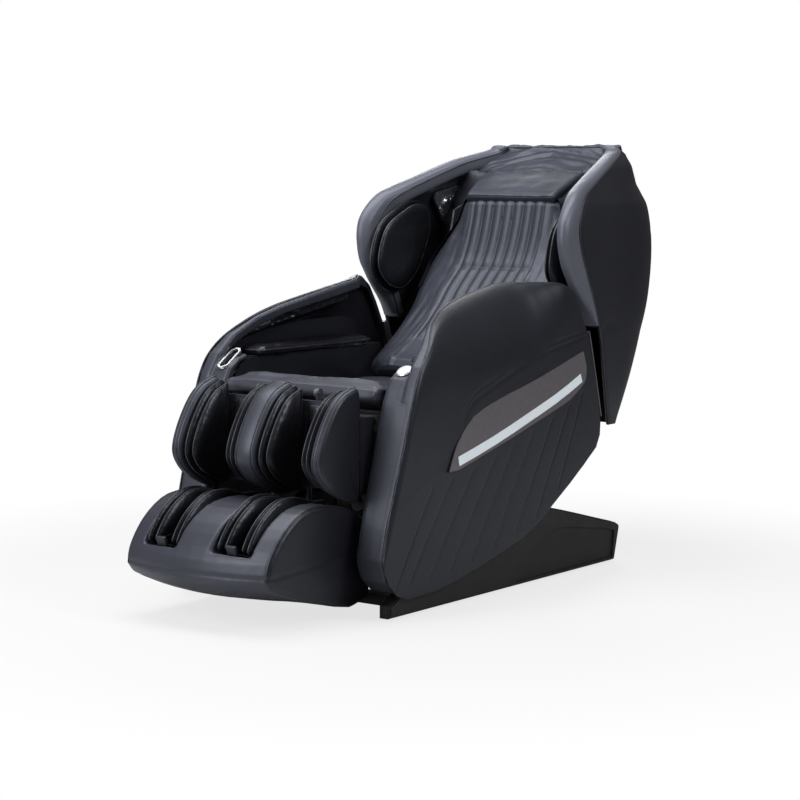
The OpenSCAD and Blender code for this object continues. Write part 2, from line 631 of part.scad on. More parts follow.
module arm_inner_left() color("#303137") centred() arm_inner(1);
module arm_inner_right() color("#303137") centred() {
    arm_inner(-1);
    // tub under the pocket mouth
    on_side(-1) intersection() {
        at_knob() difference() {
            union() {
                translate([0, 0, -64]) linear_extrude(35) pocket_outline(2.5);
                translate([10, -8, -64]) cube([24, 16, 20]);
            }
            translate([0, 0, -61]) linear_extrude(60) pocket_outline(0);
        }
        box([arm_in + 2, -400, 500], [half_w, 0, 620]);
    }
}

// Domed knob on a stem, and a two-key rocker pad behind it
module control_knob() color("#d7dade") centred() at_knob() rotate_extrude()
    polygon([[0, -14], [6, -14], [6, knob_seat], [knob_r - 2, knob_seat], [knob_r, knob_seat + 2],
        [knob_r, knob_h - 4], [knob_r - 4, knob_h - 1], [knob_r - 9, knob_h], [0, knob_h + 1]]);
module control_keys() color("#1c1d20") centred() for (x = [-8.5, 8.5]) translate(key_at + [x, 0, 0])
    hull() {
        box([-7.5, -8, -14], [7.5, 8, 3]);
        box([-6.5, -7, -14], [6.5, 7, 5]);
    }

// Lower forearm pad on the deck, with its edge over the seat
function pad_section(x0, x1, z0, z1) = let (m = (z0 + z1) / 2)
    [[x0 + 6, z0], [mix(x0, x1, 0.5), z0], [x1 - 6, z0], [x1, m], [x1 - 6, z1 - 2], [mix(x0, x1, 0.66), z1],
        [mix(x0, x1, 0.33), z1], [x0 + 6, z1 - 2], [x0, m]];
module forearm_pad(s) on_side(s) loft([for (r = [[-240, 14], [-225, 4], [-150, 0], [0, 0],
        [150, 0], [245, 4], [268, 14]])
    [for (p = pad_section(arm_in - 30 + r[1], half_w - 44, deck_z + seam_gap, deck_z + 30 - r[1] / 2))
        [p[0], r[0], p[1]]]]);
module forearm_pad_left() color("#2d2e33") centred() forearm_pad(1);
module forearm_pad_right() color("#2d2e33") centred() forearm_pad(-1);

// Upper forearm flap under the curl of the arm: [y, thickness at its edge, thickness at its root]
flap_rows = [[-240, 16, 10], [-220, 26, 16], [-150, 38, 24], [-50, 42, 26], [60, 42, 26], [160, 42, 26],
    [220, 34, 22], [244, 18, 12]];
function arm_at(y) = [for (k = [0 : 3]) lookup(y, [for (r = arm_rows) [r[0], r[k]]])];
// Height of the curl's outer face over a place x
function curl_z(r, x) = let (depth = half_w - rim_x(r), c = 1 - limit((half_w - x) / depth, 0, 1))
    r[1] - r[3] + r[3] * sqrt(1 - c * c);
module forearm_flap(s) on_side(s) loft([for (r = flap_rows)
    let (a = arm_at(r[0]), x0 = max(arm_in - 14, rim_x(a) + 12), x1 = flap_wall_x - seam_gap)
    [for (p = [[0.04, 1], [0.25, 1], [0.5, 1], [0.75, 1], [1, 0.9], [1, 0.1], [0.75, 0], [0.5, 0], [0.25, 0],
        [0.04, 0.06], [0, 0.5]]) let (x = mix(x0, x1, p[0]), h = mix(r[1], r[2], p[0]))
        [x, r[0], curl_z(a, x) - 17 - h * p[1]]]]);
module forearm_flap_left() color("#2d2e33") centred() forearm_flap(1);
module forearm_flap_right() color("#2d2e33") centred() forearm_flap(-1);

// ---- backrest ----

// Hood rows from the lower tip to the crown: [z, inset from the hood's half width, front edge, rear]
hood_half_w = half_w + 5;
hood_rows = [[412, 28, 595, 654], [486, 14, 561, 708], [566, 6, 535, 763], [666, 1, 509, 820],
    [756, 0, 480, 860], [846, 0, 438, 880], [926, 1, 402, rear_y], [990, 5, 396, 885], [1048, 16, 427, 882],
    [1080, 34, 474, 880], [1110, 53, 548, 878], [1140, 72, 629, 875], [1170, 95, 716, 870],
    [1200, 138, 828, 862], [1222, 162, 846, 858]];
function hood_half(r) = hood_half_w - r[1];
// Plan section of the hood: straight sides that turn through a full corner to the rear
corner_power = 0.38;
function hood_line(r) = let (w = hood_half(r), rear = r[3], turn = min(max(rear - 300, r[2] + 24), rear - 9),
        half = concat([[w - 4, r[2]], [w, min(r[2] + 8, mix(r[2], turn, 0.5))]],
            [for (a = [0 : 15 : 90]) [w * pow(max(cos(a), 0), corner_power),
                turn + (rear - turn) * pow(sin(a), corner_power)]]))
    concat(half, [for (i = [len(half) - 2 : -1 : 0]) [-half[i][0], half[i][1]]]);
function hood_ring(r) = [for (p = walled(hood_line(r), shell_wall)) [p[0], p[1], r[0]]];
module back_shell() color("#2b2d33") centred() loft_flat([for (r = hood_rows) hood_ring(r)]);

// How far the wing stands in front of the hood's edge at a height
function wing_reach(z) = lookup(z, [[700, 6], [760, 22], [805, 40], [850, 54], [900, 64], [1000, 62],
    [1060, 52], [1120, 40], [1170, 26], [1210, 14]]);
// Row of the hood at a height
function hood_at(z) = [for (k = [0 : 3]) lookup(z, [for (r = hood_rows) [r[0], r[k]]])];
// Plan section of a wing bolster: full front, stepped behind the hood's edge
function wing_ring(z) = let (r = hood_at(z), w = hood_half(r), f = r[2], d = wing_reach(z),
        back = min(f + 330, r[3] - 130), t = wing_t)
    [for (p = [[w - 26, f - d], [w - 10, f - d + 8], [w - 3, f - d * 0.6], [w, f - 2.5],
        [w - shell_wall - 4.5, f + 2], [w - shell_wall - 1, f + 40], [w - shell_wall - 6, back - 20],
        [w - 18, back], [w - t + 8, back], [w - t, back - 16], [w - t, f + 60], [w - t + 2, f],
        [w - t + 10, f - d * 0.75]]) [p[0], p[1], z]];
wing_levels = [704, 730, 756, 800, 846, 886, 926, 990, 1048, 1080, 1110, 1140, 1160];
module wing(s) on_side(s) loft([for (z = wing_levels) wing_ring(z)]);
module wing_left() color("#4f545f") centred() wing(1);
module wing_right() color("#4f545f") centred() wing(-1);

// Domed shoulder pad on a wing's inner face: outline in [y, z], then its rings towards the seat
pad_mid = [470, 920];
pad_outline = closed_curve([[350, 850], [345, 905], [378, 985], [445, 1030], [510, 1055], [566, 1046],
    [604, 1006], [606, 955], [572, 878], [530, 825], [465, 790], [395, 806]], 2);
// Inner face of the wing at a height
function wing_in(z) = hood_half(hood_at(z)) - wing_t;
module shoulder_pad(s) on_side(s) loft([for (k = [[0, 0.9], [8, 0.99], [18, 1], [28, 0.92],
        [36, 0.72], [40, 0.4]])
    [for (p = pad_outline) let (y = mix(pad_mid[0], p[0], k[1]), z = mix(pad_mid[1], p[1], k[1]))
        [wing_in(z) - seam_gap - k[0], y, z]]]);
module shoulder_pad_left() color("#232327") centred() shoulder_pad(1);
module shoulder_pad_right() color("#232327") centred() shoulder_pad(-1);

// Rounded triangular speaker bezel with a radial grille, on the wing behind the shoulder pad
speaker_at = [690, 1052];
speaker_x = 302;
speaker_lean = 20.8;
module speaker_outline(grow) hull() for (c = [[-52, 20, 16], [42, 42, 16], [16, -48, 14]])
    translate([speaker_at[0] + c[0], speaker_at[1] + c[1]]) circle(c[2] + grow, $fn = 32);
module speaker(s) on_side(s) translate([speaker_x, 0, speaker_at[1]]) rotate([0, -speaker_lean, 0])
    translate([0, 0, -speaker_at[1]]) difference() {
        union() {
            across(-9, 0) speaker_outline(0);
            rod(speaker_at, 24, -1, 8);
        }
        across(-10, -4) difference() {
            speaker_outline(-6);
            translate(speaker_at) circle(12);
        }
        // radial slots of the grille
        across(-6, -2) for (a = [0 : 20 : 340])
            translate(speaker_at) rotate(a) translate([17, -1.2]) square([24, 2.4]);
    }
module speakers() color("#8d9199") centred() {
    speaker(1);
    speaker(-1);
}

// Back pad rows up the back: [y, z, half width, height of the quilting]
back_rows = [[182, 606, 196, 0], [200, 616, 226, 1], [240, 634, 244, 4], [298, 668, 250, 4],
    [360, 712, 250, 4], [415, 762, 252, 4], [462, 812, 258, 4], [502, 848, 266, 4],
    [526, 872, 270, 0.5], [548, 905, 276, 4], [568, 950, 284, 4], [584, 1000, 284, 4],
    [594, 1040, 276, 4], [598, 1064, 266, 0.5]];
side_drop = 20;
// Depth of the quilting at a place across the pad
function quilt(x) = let (u = (x / quilt_half_w + 1) / 2 * channels) abs(sin(180 * u));
function back_ring(rows, i) = let (r = rows[i], m = len(rows) - 1,
        t = unit([for (k = [0, 1]) rows[min(i + 1, m)][k] - rows[max(i - 1, 0)][k]]), n = [t.y, -t.x],
        w = r[2], edge = min(quilt_half_w, w - 50),
        face = concat([[-w, side_drop + 12], [-w + 8, side_drop + 2], [-edge - 30, side_drop - 6]],
            [for (k = [0 : 2 * channels]) let (x = mix(-edge, edge, k / (2 * channels)))
                [x, 4 - r[3] * (k % 2 == 1 ? 1 : 0)]],
            [[edge + 30, side_drop - 6], [w - 8, side_drop + 2], [w, side_drop + 12]]),
        rear = [[w - 4, pad_t - 8], [w - 14, pad_t], [0, pad_t], [-w + 14, pad_t], [-w + 4, pad_t - 8]])
    [for (p = concat(face, rear)) [p[0], r[0] + n[0] * p[1], r[1] + n[1] * p[1]]];
module back_pad() color("#34353b") centred()
    loft([for (i = [0 : len(back_rows) - 1]) back_ring(back_rows, i)]);

// Head pillow and the gathered leather above it
pillow_rows = [[603, 1072, 150], [606, 1086, 158], [626, 1112, 160], [652, 1136, 158], [672, 1148, 150]];
function pillow_ring(rows, i) = let (r = rows[i], m = len(rows) - 1, w = r[2],
        t = unit([for (k = [0, 1]) rows[min(i + 1, m)][k] - rows[max(i - 1, 0)][k]]), n = [t.y, -t.x],
        h = i == 0 || i == m ? 8 : 0)
    [for (p = [[-w, 22], [-w + 6, 8 + h], [-w * 0.6, h], [0, h - 2], [w * 0.6, h], [w - 6, 8 + h], [w, 22],
        [w - 8, 38], [0, 42], [-w + 8, 38]]) [p[0], r[0] + n[0] * p[1], r[1] + n[1] * p[1]]];
module head_pillow() color("#3c3e45") centred()
    loft([for (i = [0 : len(pillow_rows) - 1]) pillow_ring(pillow_rows, i)]);

// Padded lining of the hood, behind and above the head pillow: [y, z, half width]
lining_rows = concat([for (i = [1 : 4]) let (p = [pillow_rows[i][0], pillow_rows[i][1]]
        + row_normal(pillow_rows, i) * (42 + seam_gap)) [p[0], p[1], 288 - 7 * i]],
    [[730, 1138, 250], [776, 1168, 232], [812, 1189, 214]]);
function lining_ring(i) = let (r = lining_rows[i], n = row_normal(lining_rows, i), w = r[2])
    [for (p = [[-w, 10], [-w * 0.8, 2], [-w * 0.4, 0], [0, 2], [w * 0.4, 0], [w * 0.8, 2], [w, 10],
        [w - 3, 18], [0, 20], [-w + 3, 18]]) [p[0], r[0] + n[0] * p[1], r[1] + n[1] * p[1]]];
module hood_lining() color("#303137") centred() loft([for (i = [0 : len(lining_rows) - 1]) lining_ring(i)]);

// Local frame of the massage track: Y runs up the rails, Z points at the sitter's back
track_at = [488, 600];
track_lean = 54;
module track() translate([0, track_at[0], track_at[1]]) rotate([track_lean, 0, 0]) children();
rail_in = 104;
rail_d = 22;
rail_half = 13;

// Pressed side plates, the recline shaft, cross bars and the recline lever
back_plate_x = 228;
// Line behind the back pad that the frame's side plates follow
function row_normal(rows, i) = let (m = len(rows) - 1,
    t = unit([for (k = [0, 1]) rows[min(i + 1, m)][k] - rows[max(i - 1, 0)][k]])) [t.y, -t.x];
pad_back = [for (i = [3 : len(back_rows) - 2])
    [back_rows[i][0], back_rows[i][1]] + row_normal(back_rows, i) * (pad_t + seam_gap)];
// Underside of the lining over a place y, less the seam
crown = [for (i = [4 : 5])
    [lining_rows[i][0], lining_rows[i][1]] + row_normal(lining_rows, i) * (20 + seam_gap)];
function crown_z(y) = mix(crown[0].y, crown[1].y, (y - crown[0].x) / (crown[1].x - crown[0].x));
module back_frame() color("#303236") centred() difference() {
    union() {
        for (s = [-1, 1]) on_side(s) across(back_plate_x, back_plate_x + plate_t)
            polygon(concat([[332, 378], [345, 362], [385, 362]],
                open_curve([[410, 420], [500, 540], [620, 660], [730, 800], [800, 940], [806, 1076]], 2),
                [[744, 1070]], backwards(pad_back)));
        // brackets of the hood
        for (x = [-1, 1]) box([x * 190 - 10, 750, 1042], [x * 190 + 10, 871.6, 1056]);
        rod(recline_pivot, recline_shaft_r, -plate_x - plate_t - 1, plate_x + plate_t + 1);
        track() {
            for (y = [10, rail_l - 34])
                box([-back_plate_x - 1, y, -rail_half - 22],
                    [back_plate_x + 1, y + 24, -rail_half - seam_gap]);
            // bearings of the lead screw
            for (y = [12, rail_l - 32]) translate([0, y, screw_z]) rotate([-90, 0, 0])
                cylinder(r = 14, h = 20);
        }
        fork(recline_ends[1], recline_x, recline_pivot);
        // posts under the lining of the hood
        for (x = [-34, 22]) across(x, x + 12)
            polygon([[752, 1060], [768, 1060], [768, crown_z(768)], [752, crown_z(752)]]);
        // tie that holds the hood and the crown of the back
        box([-back_plate_x - 1, 748, 1042], [back_plate_x + 1, 772, 1066]);
    }
    track() translate([0, -10, screw_z]) rotate([-90, 0, 0])
        cylinder(r = screw_r + run_gap, h = rail_l + 20);
}
screw_z = -rail_half - 14;

// Two C-shaped rails that the carriage climbs
module guide_rails() color("#9a9da2") centred() track() for (s = [-1, 1]) on_side(s) difference() {
    box([rail_in, 0, -rail_half], [rail_in + rail_d, rail_l, rail_half]);
    box([rail_in - 1, -1, -rail_half + 4], [rail_in + rail_d - 4, rail_l + 1, rail_half - 4]);
}

module lead_screw() color("#b5b8bc") centred() track() translate([0, 8, screw_z]) rotate([-90, 0, 0]) {
    cylinder(r = screw_r, h = rail_l - 16);
    translate([0, 0, rail_l - 17]) cylinder(r = 13, h = 12);
}

carriage_y = 22;
carriage_l = 96;
knead_shaft = [carriage_y + carriage_l / 2, 34];
knead_shaft_r = 7;
module carriage_place() track() translate([0, carriage_y, 0]) children();

// Carriage with its guide shoes, motor drum, screw nut and the ears of the kneading shaft
module massage_carriage() color("#4b4e53") centred() difference() {
    union() {
        carriage_place() {
            box([-86, 8, -rail_half + 3], [86, carriage_l - 8, 11]);
            for (s = [-1, 1], y = [6, carriage_l - 26])
                box([s > 0 ? 84 : -rail_in - rail_d + 4 + move_gap, y, -rail_half + 4 + 0.5],
                    [s > 0 ? rail_in + rail_d - 4 - move_gap : -84, y + 20, rail_half - 4 - 0.5]);
            translate([0, 20, screw_z]) rotate([-90, 0, 0]) cylinder(r = screw_r + 5, h = carriage_l - 40);
            box([-12, 20, screw_z + 4], [12, carriage_l - 20, -rail_half + 6]);
            for (s = [-1, 1]) box([s * 30 - 4, 30, 10], [s * 30 + 4, carriage_l - 30, 44]);
        }
    }
    track() {
        translate([0, 0, screw_z]) rotate([-90, 0, 0]) cylinder(r = screw_r + run_gap, h = rail_l);
        translate([-100, knead_shaft[0], knead_shaft[1]]) rotate([0, 90, 0])
            cylinder(r = knead_shaft_r + run_gap, h = 200);
    }
}

knead_arm_x = 46;
knead_pitch = 34;
knead_axle_r = 5;
// Kneading shaft with its two bow-shaped arms
module massage_arms() color("#a0a3a8") centred() track() difference() {
    union() {
        translate([-knead_arm_x - 8, knead_shaft[0], knead_shaft[1]]) rotate([0, 90, 0])
            cylinder(r = knead_shaft_r, h = 2 * knead_arm_x + 16);
        for (s = [-1, 1]) on_side(s) translate([knead_arm_x, 0, 0]) across(0, 8) {
            link(knead_shaft, knead_end(1), 10);
            link(knead_shaft, knead_end(-1), 10);
        }
    }
    for (e = [-1, 1]) translate([-100, knead_end(e)[0], knead_end(e)[1]]) rotate([0, 90, 0])
        cylinder(r = knead_axle_r + run_gap, h = 200);
}
function knead_end(e) = [knead_shaft[0] + e * knead_pitch, knead_shaft[1] + 12];
// Two rollers on one axle
module rollers(e) track() translate([0, knead_end(e)[0], knead_end(e)[1]]) rotate([0, 90, 0]) {
    cylinder(r = knead_axle_r, h = 2 * knead_arm_x + 20, center = true);
    for (s = [-1, 1]) translate([0, 0, s * (knead_arm_x + 10 + knead_w / 2)]) rotate_extrude()
        polygon([[0, -knead_w / 2], [knead_r - 8, -knead_w / 2], [knead_r - 2, -knead_w / 2 + 4],
            [knead_r, 0],
            [knead_r - 2, knead_w / 2 - 4], [knead_r - 8, knead_w / 2], [0, knead_w / 2]]);
}
module upper_rollers() color("#6b4a36") centred() rollers(1);
module lower_rollers() color("#6b4a36") centred() rollers(-1);

// ---- leg unit ----

guide_x = 60;
guide_y = -418;
guide_low = 335;
guide_high = 548;
// Calf plate, hinge lugs with their pins, guide tubes and the fork of the leg strut
module calf_frame() color("#303236") centred() difference() {
    union() {
        difference() {
            box([-leg_half_w + 50, -436, 330], [leg_half_w - 50, -430, 545]);
            box([-26, -440, 465], [26, -420, 546]);
        }
        for (s = [-1, 1]) on_side(s) {
            across(leg_lug_x + 9, leg_lug_x + 15) hull() {
                translate(leg_pivot) circle(12);
                translate([-434, 500]) square([6, 10]);
            }
            rod(leg_pivot, leg_pin_r, leg_lug_x - 3, leg_lug_x + 10);
            translate([guide_x, guide_y, guide_low])
                cylinder(r = guide_rod_r + 3.5, h = guide_high - guide_low);
            for (z = [360, 500]) box([guide_x - 8, -431, z], [guide_x + 8, guide_y - guide_rod_r, z + 20]);
        }
        // fork of the leg strut
        for (s = [-1, 1]) translate([leg_x + s * (lug_gap + lug_t / 2) - lug_t / 2, 0, 0]) across(0, lug_t)
            link(leg_ends[1], [-425, 455], 9);
        box([-24, -434, 437], [24, -424, 461]);
    }
    rod(leg_ends[1], strut_pin_r, -30, 30);
    for (s = [-1, 1]) translate([s * guide_x, guide_y, guide_low - 1])
        cylinder(r = guide_rod_r + run_gap, h = guide_high - guide_low + 2);
}

// Side view of a calf wall, front at the left
calf_side = closed_curve([[-444, 588], [-492, 592], [-540, 562], [-585, 500], [-612, 438], [-610, 395],
    [-575, 352], [-520, 322], [-470, 306], [-446, 324], [-441, 440]], 2);
calf_back = -436;
module calf_slab(x0, x1, draw) across(x0, x1) offset(delta = -draw) polygon(calf_side);
// Three padded walls joined by the moulded calf back
module calf_walls() color("#575c68") centred() {
    for (s = [-1, 1]) on_side(s) {
        calf_slab(leg_half_w - calf_wall_t, leg_half_w - 4, 0);
        calf_slab(leg_half_w - 4.01, leg_half_w, 5);
    }
    calf_slab(-calf_wall_t, calf_wall_t, 0);
    box([-leg_half_w + 10, -444, 325], [leg_half_w - 10, calf_back - seam_gap, 556]);
}

// Air pads on the walls' faces towards each well
function calf_pad_ring(x, grow) = [for (p = drawn_in(calf_side, grow)) [x, p[0], p[1]]];
module calf_pad(x0, x1) loft([calf_pad_ring(x0, 16), calf_pad_ring(mix(x0, x1, 0.35), 11),
    calf_pad_ring(mix(x0, x1, 0.75), 16), calf_pad_ring(x1, 30)]);
module calf_air_pads() color("#1f1f23") centred() intersection() {
    for (s = [-1, 1]) on_side(s) {
        calf_pad(calf_wall_t + seam_gap, calf_wall_t + calf_pad_t);
        calf_pad(leg_half_w - calf_wall_t - seam_gap, leg_half_w - calf_wall_t - calf_pad_t);
    }
    box([-leg_half_w, -700, 300], [leg_half_w, -444 - seam_gap, 600]);
}
calf_well_x0 = calf_wall_t + calf_pad_t + 3;
calf_well_x1 = leg_half_w - calf_wall_t - calf_pad_t - 3;
module calf_back_pads() color("#1f1f23") centred() for (s = [-1, 1]) on_side(s)
    loft([for (r = [[340, 3, 4], [352, 0, 10], [400, 0, 15], [450, 0, 17], [500, 0, 15], [536, 0, 10],
            [548, 3, 4]])
        let (a = calf_well_x0 + r[1], b = calf_well_x1 - r[1], y = -444 - seam_gap)
        [for (p = [[a, y], [b, y], [b, y - r[2] * 0.6], [mix(a, b, 0.75), y - r[2]],
            [mix(a, b, 0.5), y - r[2] * 0.9],
            [mix(a, b, 0.25), y - r[2]], [a, y - r[2] * 0.6]]) [p[0], p[1], r[0]]]]);

// Footrest: side view of its outline and of the hump above it
foot_side = concat(open_curve([[-390, 46], [-466, 24], [-594, 54], [-700, 86], [-782, 118]], 2),
    open_curve([[-800, 140], [-790, 184], [-748, 240], [-696, 282], [-640, 304], [-560, 306], [-474, 284],
        [-410, 254], [-388, 215]], 2));
foot_well_mid = 120;
foot_well_half = 62;
foot_half_w = leg_half_w - 12;
// Nose of the footrest bows forward in the middle
function bow(x) = 35 * (1 - pow(x / foot_half_w, 2));
function foot_ring(x, draw) = [for (p = drawn_in(foot_side, draw)) let (t = smooth((-500 - p[0]) / 250))
    [x, p[0] - bow(x) * t, p[1] - 0.5 * bow(x) * t * smooth((200 - p[1]) / 80)]];
module foot_body() loft_flat([for (k = concat([[-1, 9], [-0.985, 3]],
        [for (i = [-5 : 5]) [i * 0.19, 0]], [[0.985, 3], [1, 9]]))
    foot_ring(foot_half_w * k[0], -k[1])]);

well_floor = [[-452, 92], [-860, 214]];
// Shaft of a well, open above and at the toes
module foot_well(s) on_side(s) across(foot_well_mid - foot_well_half, foot_well_mid + foot_well_half)
    polygon([[-455, 400], well_floor[0], well_floor[1], [-900, 400]]);
module foot_shell() color("#4c515c") centred() {
    difference() {
        foot_body();
        for (s = [-1, 1]) foot_well(s);
        // bays of the sole rollers and the bore of their axle
        roller_bay();
        rod(roller_at, 4 + run_gap, -foot_well_mid - 56, foot_well_mid + 56);
    }
    // guide rods that run up into the calf frame
    for (s = [-1, 1]) translate([s * guide_x, guide_y, 240]) cylinder(r = guide_rod_r, h = 270);
}

roller_at = [-590, 126];
module roller_bay() for (s = [-1, 1]) on_side(s)
    rod(roller_at, sole_roller_r + move_gap + 2, foot_well_mid - 46, foot_well_mid + 46);
module sole_rollers() color("#5c6068") centred() {
    rod(roller_at, 4, -foot_well_mid - 50, foot_well_mid + 50);
    for (s = [-1, 1], k = [-2 : 2]) let (x = s * foot_well_mid + 16 * k)
        rod(roller_at, sole_roller_r - abs(k) * 0.8, x - 6, x + 6);
}

// Air pads on both sides of each foot, and the sole pad at the toes
foot_pad_side = closed_curve([[-466, 286], [-540, 308], [-605, 326], [-672, 322], [-740, 282], [-786, 226],
    [-786, 202], [-720, 181], [-590, 143], [-478, 120]], 2);
module foot_pad(x0, x1) loft([for (k = [[0, 4], [0.25, 0], [0.7, 3], [0.93, 14], [1, 26]])
    [for (p = drawn_in(foot_pad_side, k[1])) [mix(x0, x1, k[0]), p[0], p[1]]]]);
module foot_air_pads() color("#1c1c20") centred() for (s = [-1, 1]) on_side(s) {
    foot_pad(foot_well_mid - foot_well_half + seam_gap, foot_well_mid - 17);
    foot_pad(foot_well_mid + foot_well_half - seam_gap, foot_well_mid + 17);
}
// Soft pad on the well's floor that turns up over the toes
function sole_z(y) = mix(well_floor[0][1], well_floor[1][1],
    (well_floor[0][0] - y) / (well_floor[0][0] - well_floor[1][0])) + seam_gap;
module sole_pads() color("#6d7178") centred() for (s = [-1, 1]) on_side(s)
    across(foot_well_mid - 15, foot_well_mid + 15) polygon([[-630, sole_z(-630)], [-796, sole_z(-796)],
        [-803, sole_z(-796) + 24], [-793, sole_z(-796) + 26], [-786, sole_z(-786) + 8],
        [-630, sole_z(-630) + 8]]);

floor_frame();
base_cover_left();
base_cover_right();
base_rear_cover();
rubber_feet();
power_box();
mains_switch();
transport_wheels();
seat_frame();
seat_pan();
seat_cushion();
air_pump();
control_box();
arm_panel_left();
arm_panel_right();
arm_band_left();
arm_band_right();
arm_inner_left();
arm_inner_right();
forearm_pad_left();
forearm_pad_right();
forearm_flap_left();
forearm_flap_right();
side_inserts();
light_strips();
rear_trims();
control_knob();
control_keys();
pocket_bezel();
back_frame();
back_shell();
wing_left();
wing_right();
back_pad();
head_pillow();
shoulder_pad_left();
shoulder_pad_right();
speakers();
hood_lining();
guide_rails();
lead_screw();
massage_carriage();
massage_arms();
upper_rollers();
lower_rollers();
calf_frame();
calf_walls();
calf_air_pads();
calf_back_pads();
foot_shell();
foot_air_pads();
sole_pads();
sole_rollers();
tilt_motor();
tilt_rod();
recline_motor();
recline_rod();
leg_motor();
leg_rod();
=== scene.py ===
# %% [markdown]
# # A massage chair dressed over its CAD frame
# The frame holds every rigid part at its true size and place. This script loads it, keeps it where
# it is, and adds what CAD leaves plain: leather, stitching, piping, swollen air pads, moulded
# plastic and metal. Units are metres, the sitter faces -Y, and +X is the sitter's left.

# %% Load the frame
import json
import math
import bpy
import numpy as np
from mathutils import Matrix, Vector, noise
from mathutils.bvhtree import BVHTree


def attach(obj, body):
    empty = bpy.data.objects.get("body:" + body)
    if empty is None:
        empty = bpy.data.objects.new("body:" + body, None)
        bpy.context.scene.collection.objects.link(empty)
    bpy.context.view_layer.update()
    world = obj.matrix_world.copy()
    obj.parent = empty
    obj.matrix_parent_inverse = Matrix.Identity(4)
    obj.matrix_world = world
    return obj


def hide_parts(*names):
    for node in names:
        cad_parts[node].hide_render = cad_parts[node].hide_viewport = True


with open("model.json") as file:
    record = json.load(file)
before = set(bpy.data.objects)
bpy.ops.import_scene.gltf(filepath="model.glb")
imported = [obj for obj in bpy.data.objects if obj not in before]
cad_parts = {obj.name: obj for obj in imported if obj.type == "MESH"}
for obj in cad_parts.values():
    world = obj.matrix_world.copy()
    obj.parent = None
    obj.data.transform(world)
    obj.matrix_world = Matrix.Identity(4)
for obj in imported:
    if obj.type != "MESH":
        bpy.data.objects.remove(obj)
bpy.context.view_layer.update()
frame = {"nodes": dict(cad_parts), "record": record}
nodes = frame["nodes"]
body_of = {n: b for b, names in frame["record"]["behaviour"]["bodies"].items() for n in names}

# %% [markdown]
# ## Drawing measure
# The chair was drawn with its origin 26 mm behind the middle of its length. `at(x, y, z)` takes a
# place on that drawing, in millimetres, and gives it in the frame's metres, so that a seam can be
# written down as a maker would read it off the drawing.

# %% From the drawing to the frame
MID_Y = 26.0


def at(x, y, z):
    return Vector((x, y - MID_Y, z)) / 1000


def between(a, b, c, d, t):
    """The point at share t from b to c on a Catmull-Rom curve."""
    return 0.5 * (2 * b + (c - a) * t + (2 * a - 5 * b + 4 * c - d) * t * t
                  + (3 * b - a - 3 * c + d) * t * t * t)


def curve_through(points, per_span=8):
    """Points along a smooth curve through the given ones."""
    p = [Vector(q) for q in points]
    p = [2 * p[0] - p[1]] + p + [2 * p[-1] - p[-2]]
    fours = list(zip(p, p[1:], p[2:], p[3:]))
    return [between(*four, k / per_span) for four in fours for k in range(per_span)] + [p[-2]]


def flat_curve(pairs, per_span):
    """The same through pairs of y and z."""
    return curve_through([(y, z, 0) for y, z in pairs], per_span)


def run_along(p):
    """How far along a line each of its points lies."""
    return np.r_[0, np.cumsum(np.linalg.norm(np.diff(p, axis=0), axis=1))]


def evenly(points, step):
    """The same line with its points a step apart."""
    p = np.array([list(q) for q in points], float)
    run = run_along(p)
    n = max(2, int(round(run[-1] / step)) + 1)
    s = np.linspace(0, run[-1], n)
    return [Vector([float(np.interp(v, run, p[:, k])) for k in range(p.shape[1])]) for v in s]


def across(line, closed=False):
    """Unit vectors square to a flat line, on its left."""
    step = np.roll(line, -1, 0) - np.roll(line, 1, 0) if closed else np.gradient(line, axis=0)
    step = step / np.linalg.norm(step, axis=1)[:, None]
    return np.stack([-step[:, 1], step[:, 0]], 1)


def flipped(points, s):
    """The same points for s = 1, and their mirror image on the other side for s = -1."""
    return [Vector((s * p.x, p.y, p.z)) for p in points]


print("the drawing's origin is at", tuple(round(v, 3) for v in at(0, 0, 0)))

# %% [markdown]
# ## Camera
# A long portrait lens, over six metres away in front of the chair's left side and level with its
# top, keeps the big side panel and the hood in their true proportions. A slight lens shift sets
# the chair's height in the picture.

# %% Make the camera
EYE, TURN, TILT = (3.834, -5.011, 1.199), 37.22, 6.10


def new_object(name, data):
    obj = bpy.data.objects.new(name, data)
    bpy.context.scene.collection.objects.link(obj)
    return obj


def new_mesh(name, points, faces):
    mesh = bpy.data.meshes.new(name)
    mesh.from_pydata(points, [], faces)
    return mesh


lens = bpy.data.cameras.new("studio_camera")
lens.lens, lens.sensor_width, lens.shift_y = 101.2, 36.0, -0.00625
camera = new_object("studio_camera", lens)
camera.location = EYE
camera.rotation_euler = (math.radians(90 - TILT), 0, math.radians(TURN))
bpy.context.scene.camera = camera
print("camera looks", TURN, "degrees round and", TILT, "degrees down")

# %% [markdown]
# ## Materials and nodes
# Every material starts empty under the name of its slot. A value that feeds a node is either a
# number, set on the socket itself, or another node's output.

# %% Tools for nodes
def new_material(name):
    """An empty node material that takes the name over from the frame's plain one."""
    if name in bpy.data.materials:
        bpy.data.materials[name].name = name + "_plain"
    m = bpy.data.materials.new(name)
    m.use_nodes = True
    m.node_tree.nodes.clear()
    out = m.node_tree.nodes.new("ShaderNodeOutputMaterial")
    out.location = (600, 0)
    return m, m.node_tree.nodes, m.node_tree.links, out


def set_inputs(node, values):
    for key, value in values.items():
        node.inputs[key].default_value = value


def feed(l, value, socket):
    """Sets a socket to a number, or links it to another node's output."""
    if isinstance(value, (int, float)):
        socket.default_value = value
    else:
        l.new(value, socket)


def maths(n, l, operation, first, second):
    m = n.new("ShaderNodeMath")
    m.operation = operation
    feed(l, first, m.inputs[0])
    feed(l, second, m.inputs[1])
    return m.outputs[0]


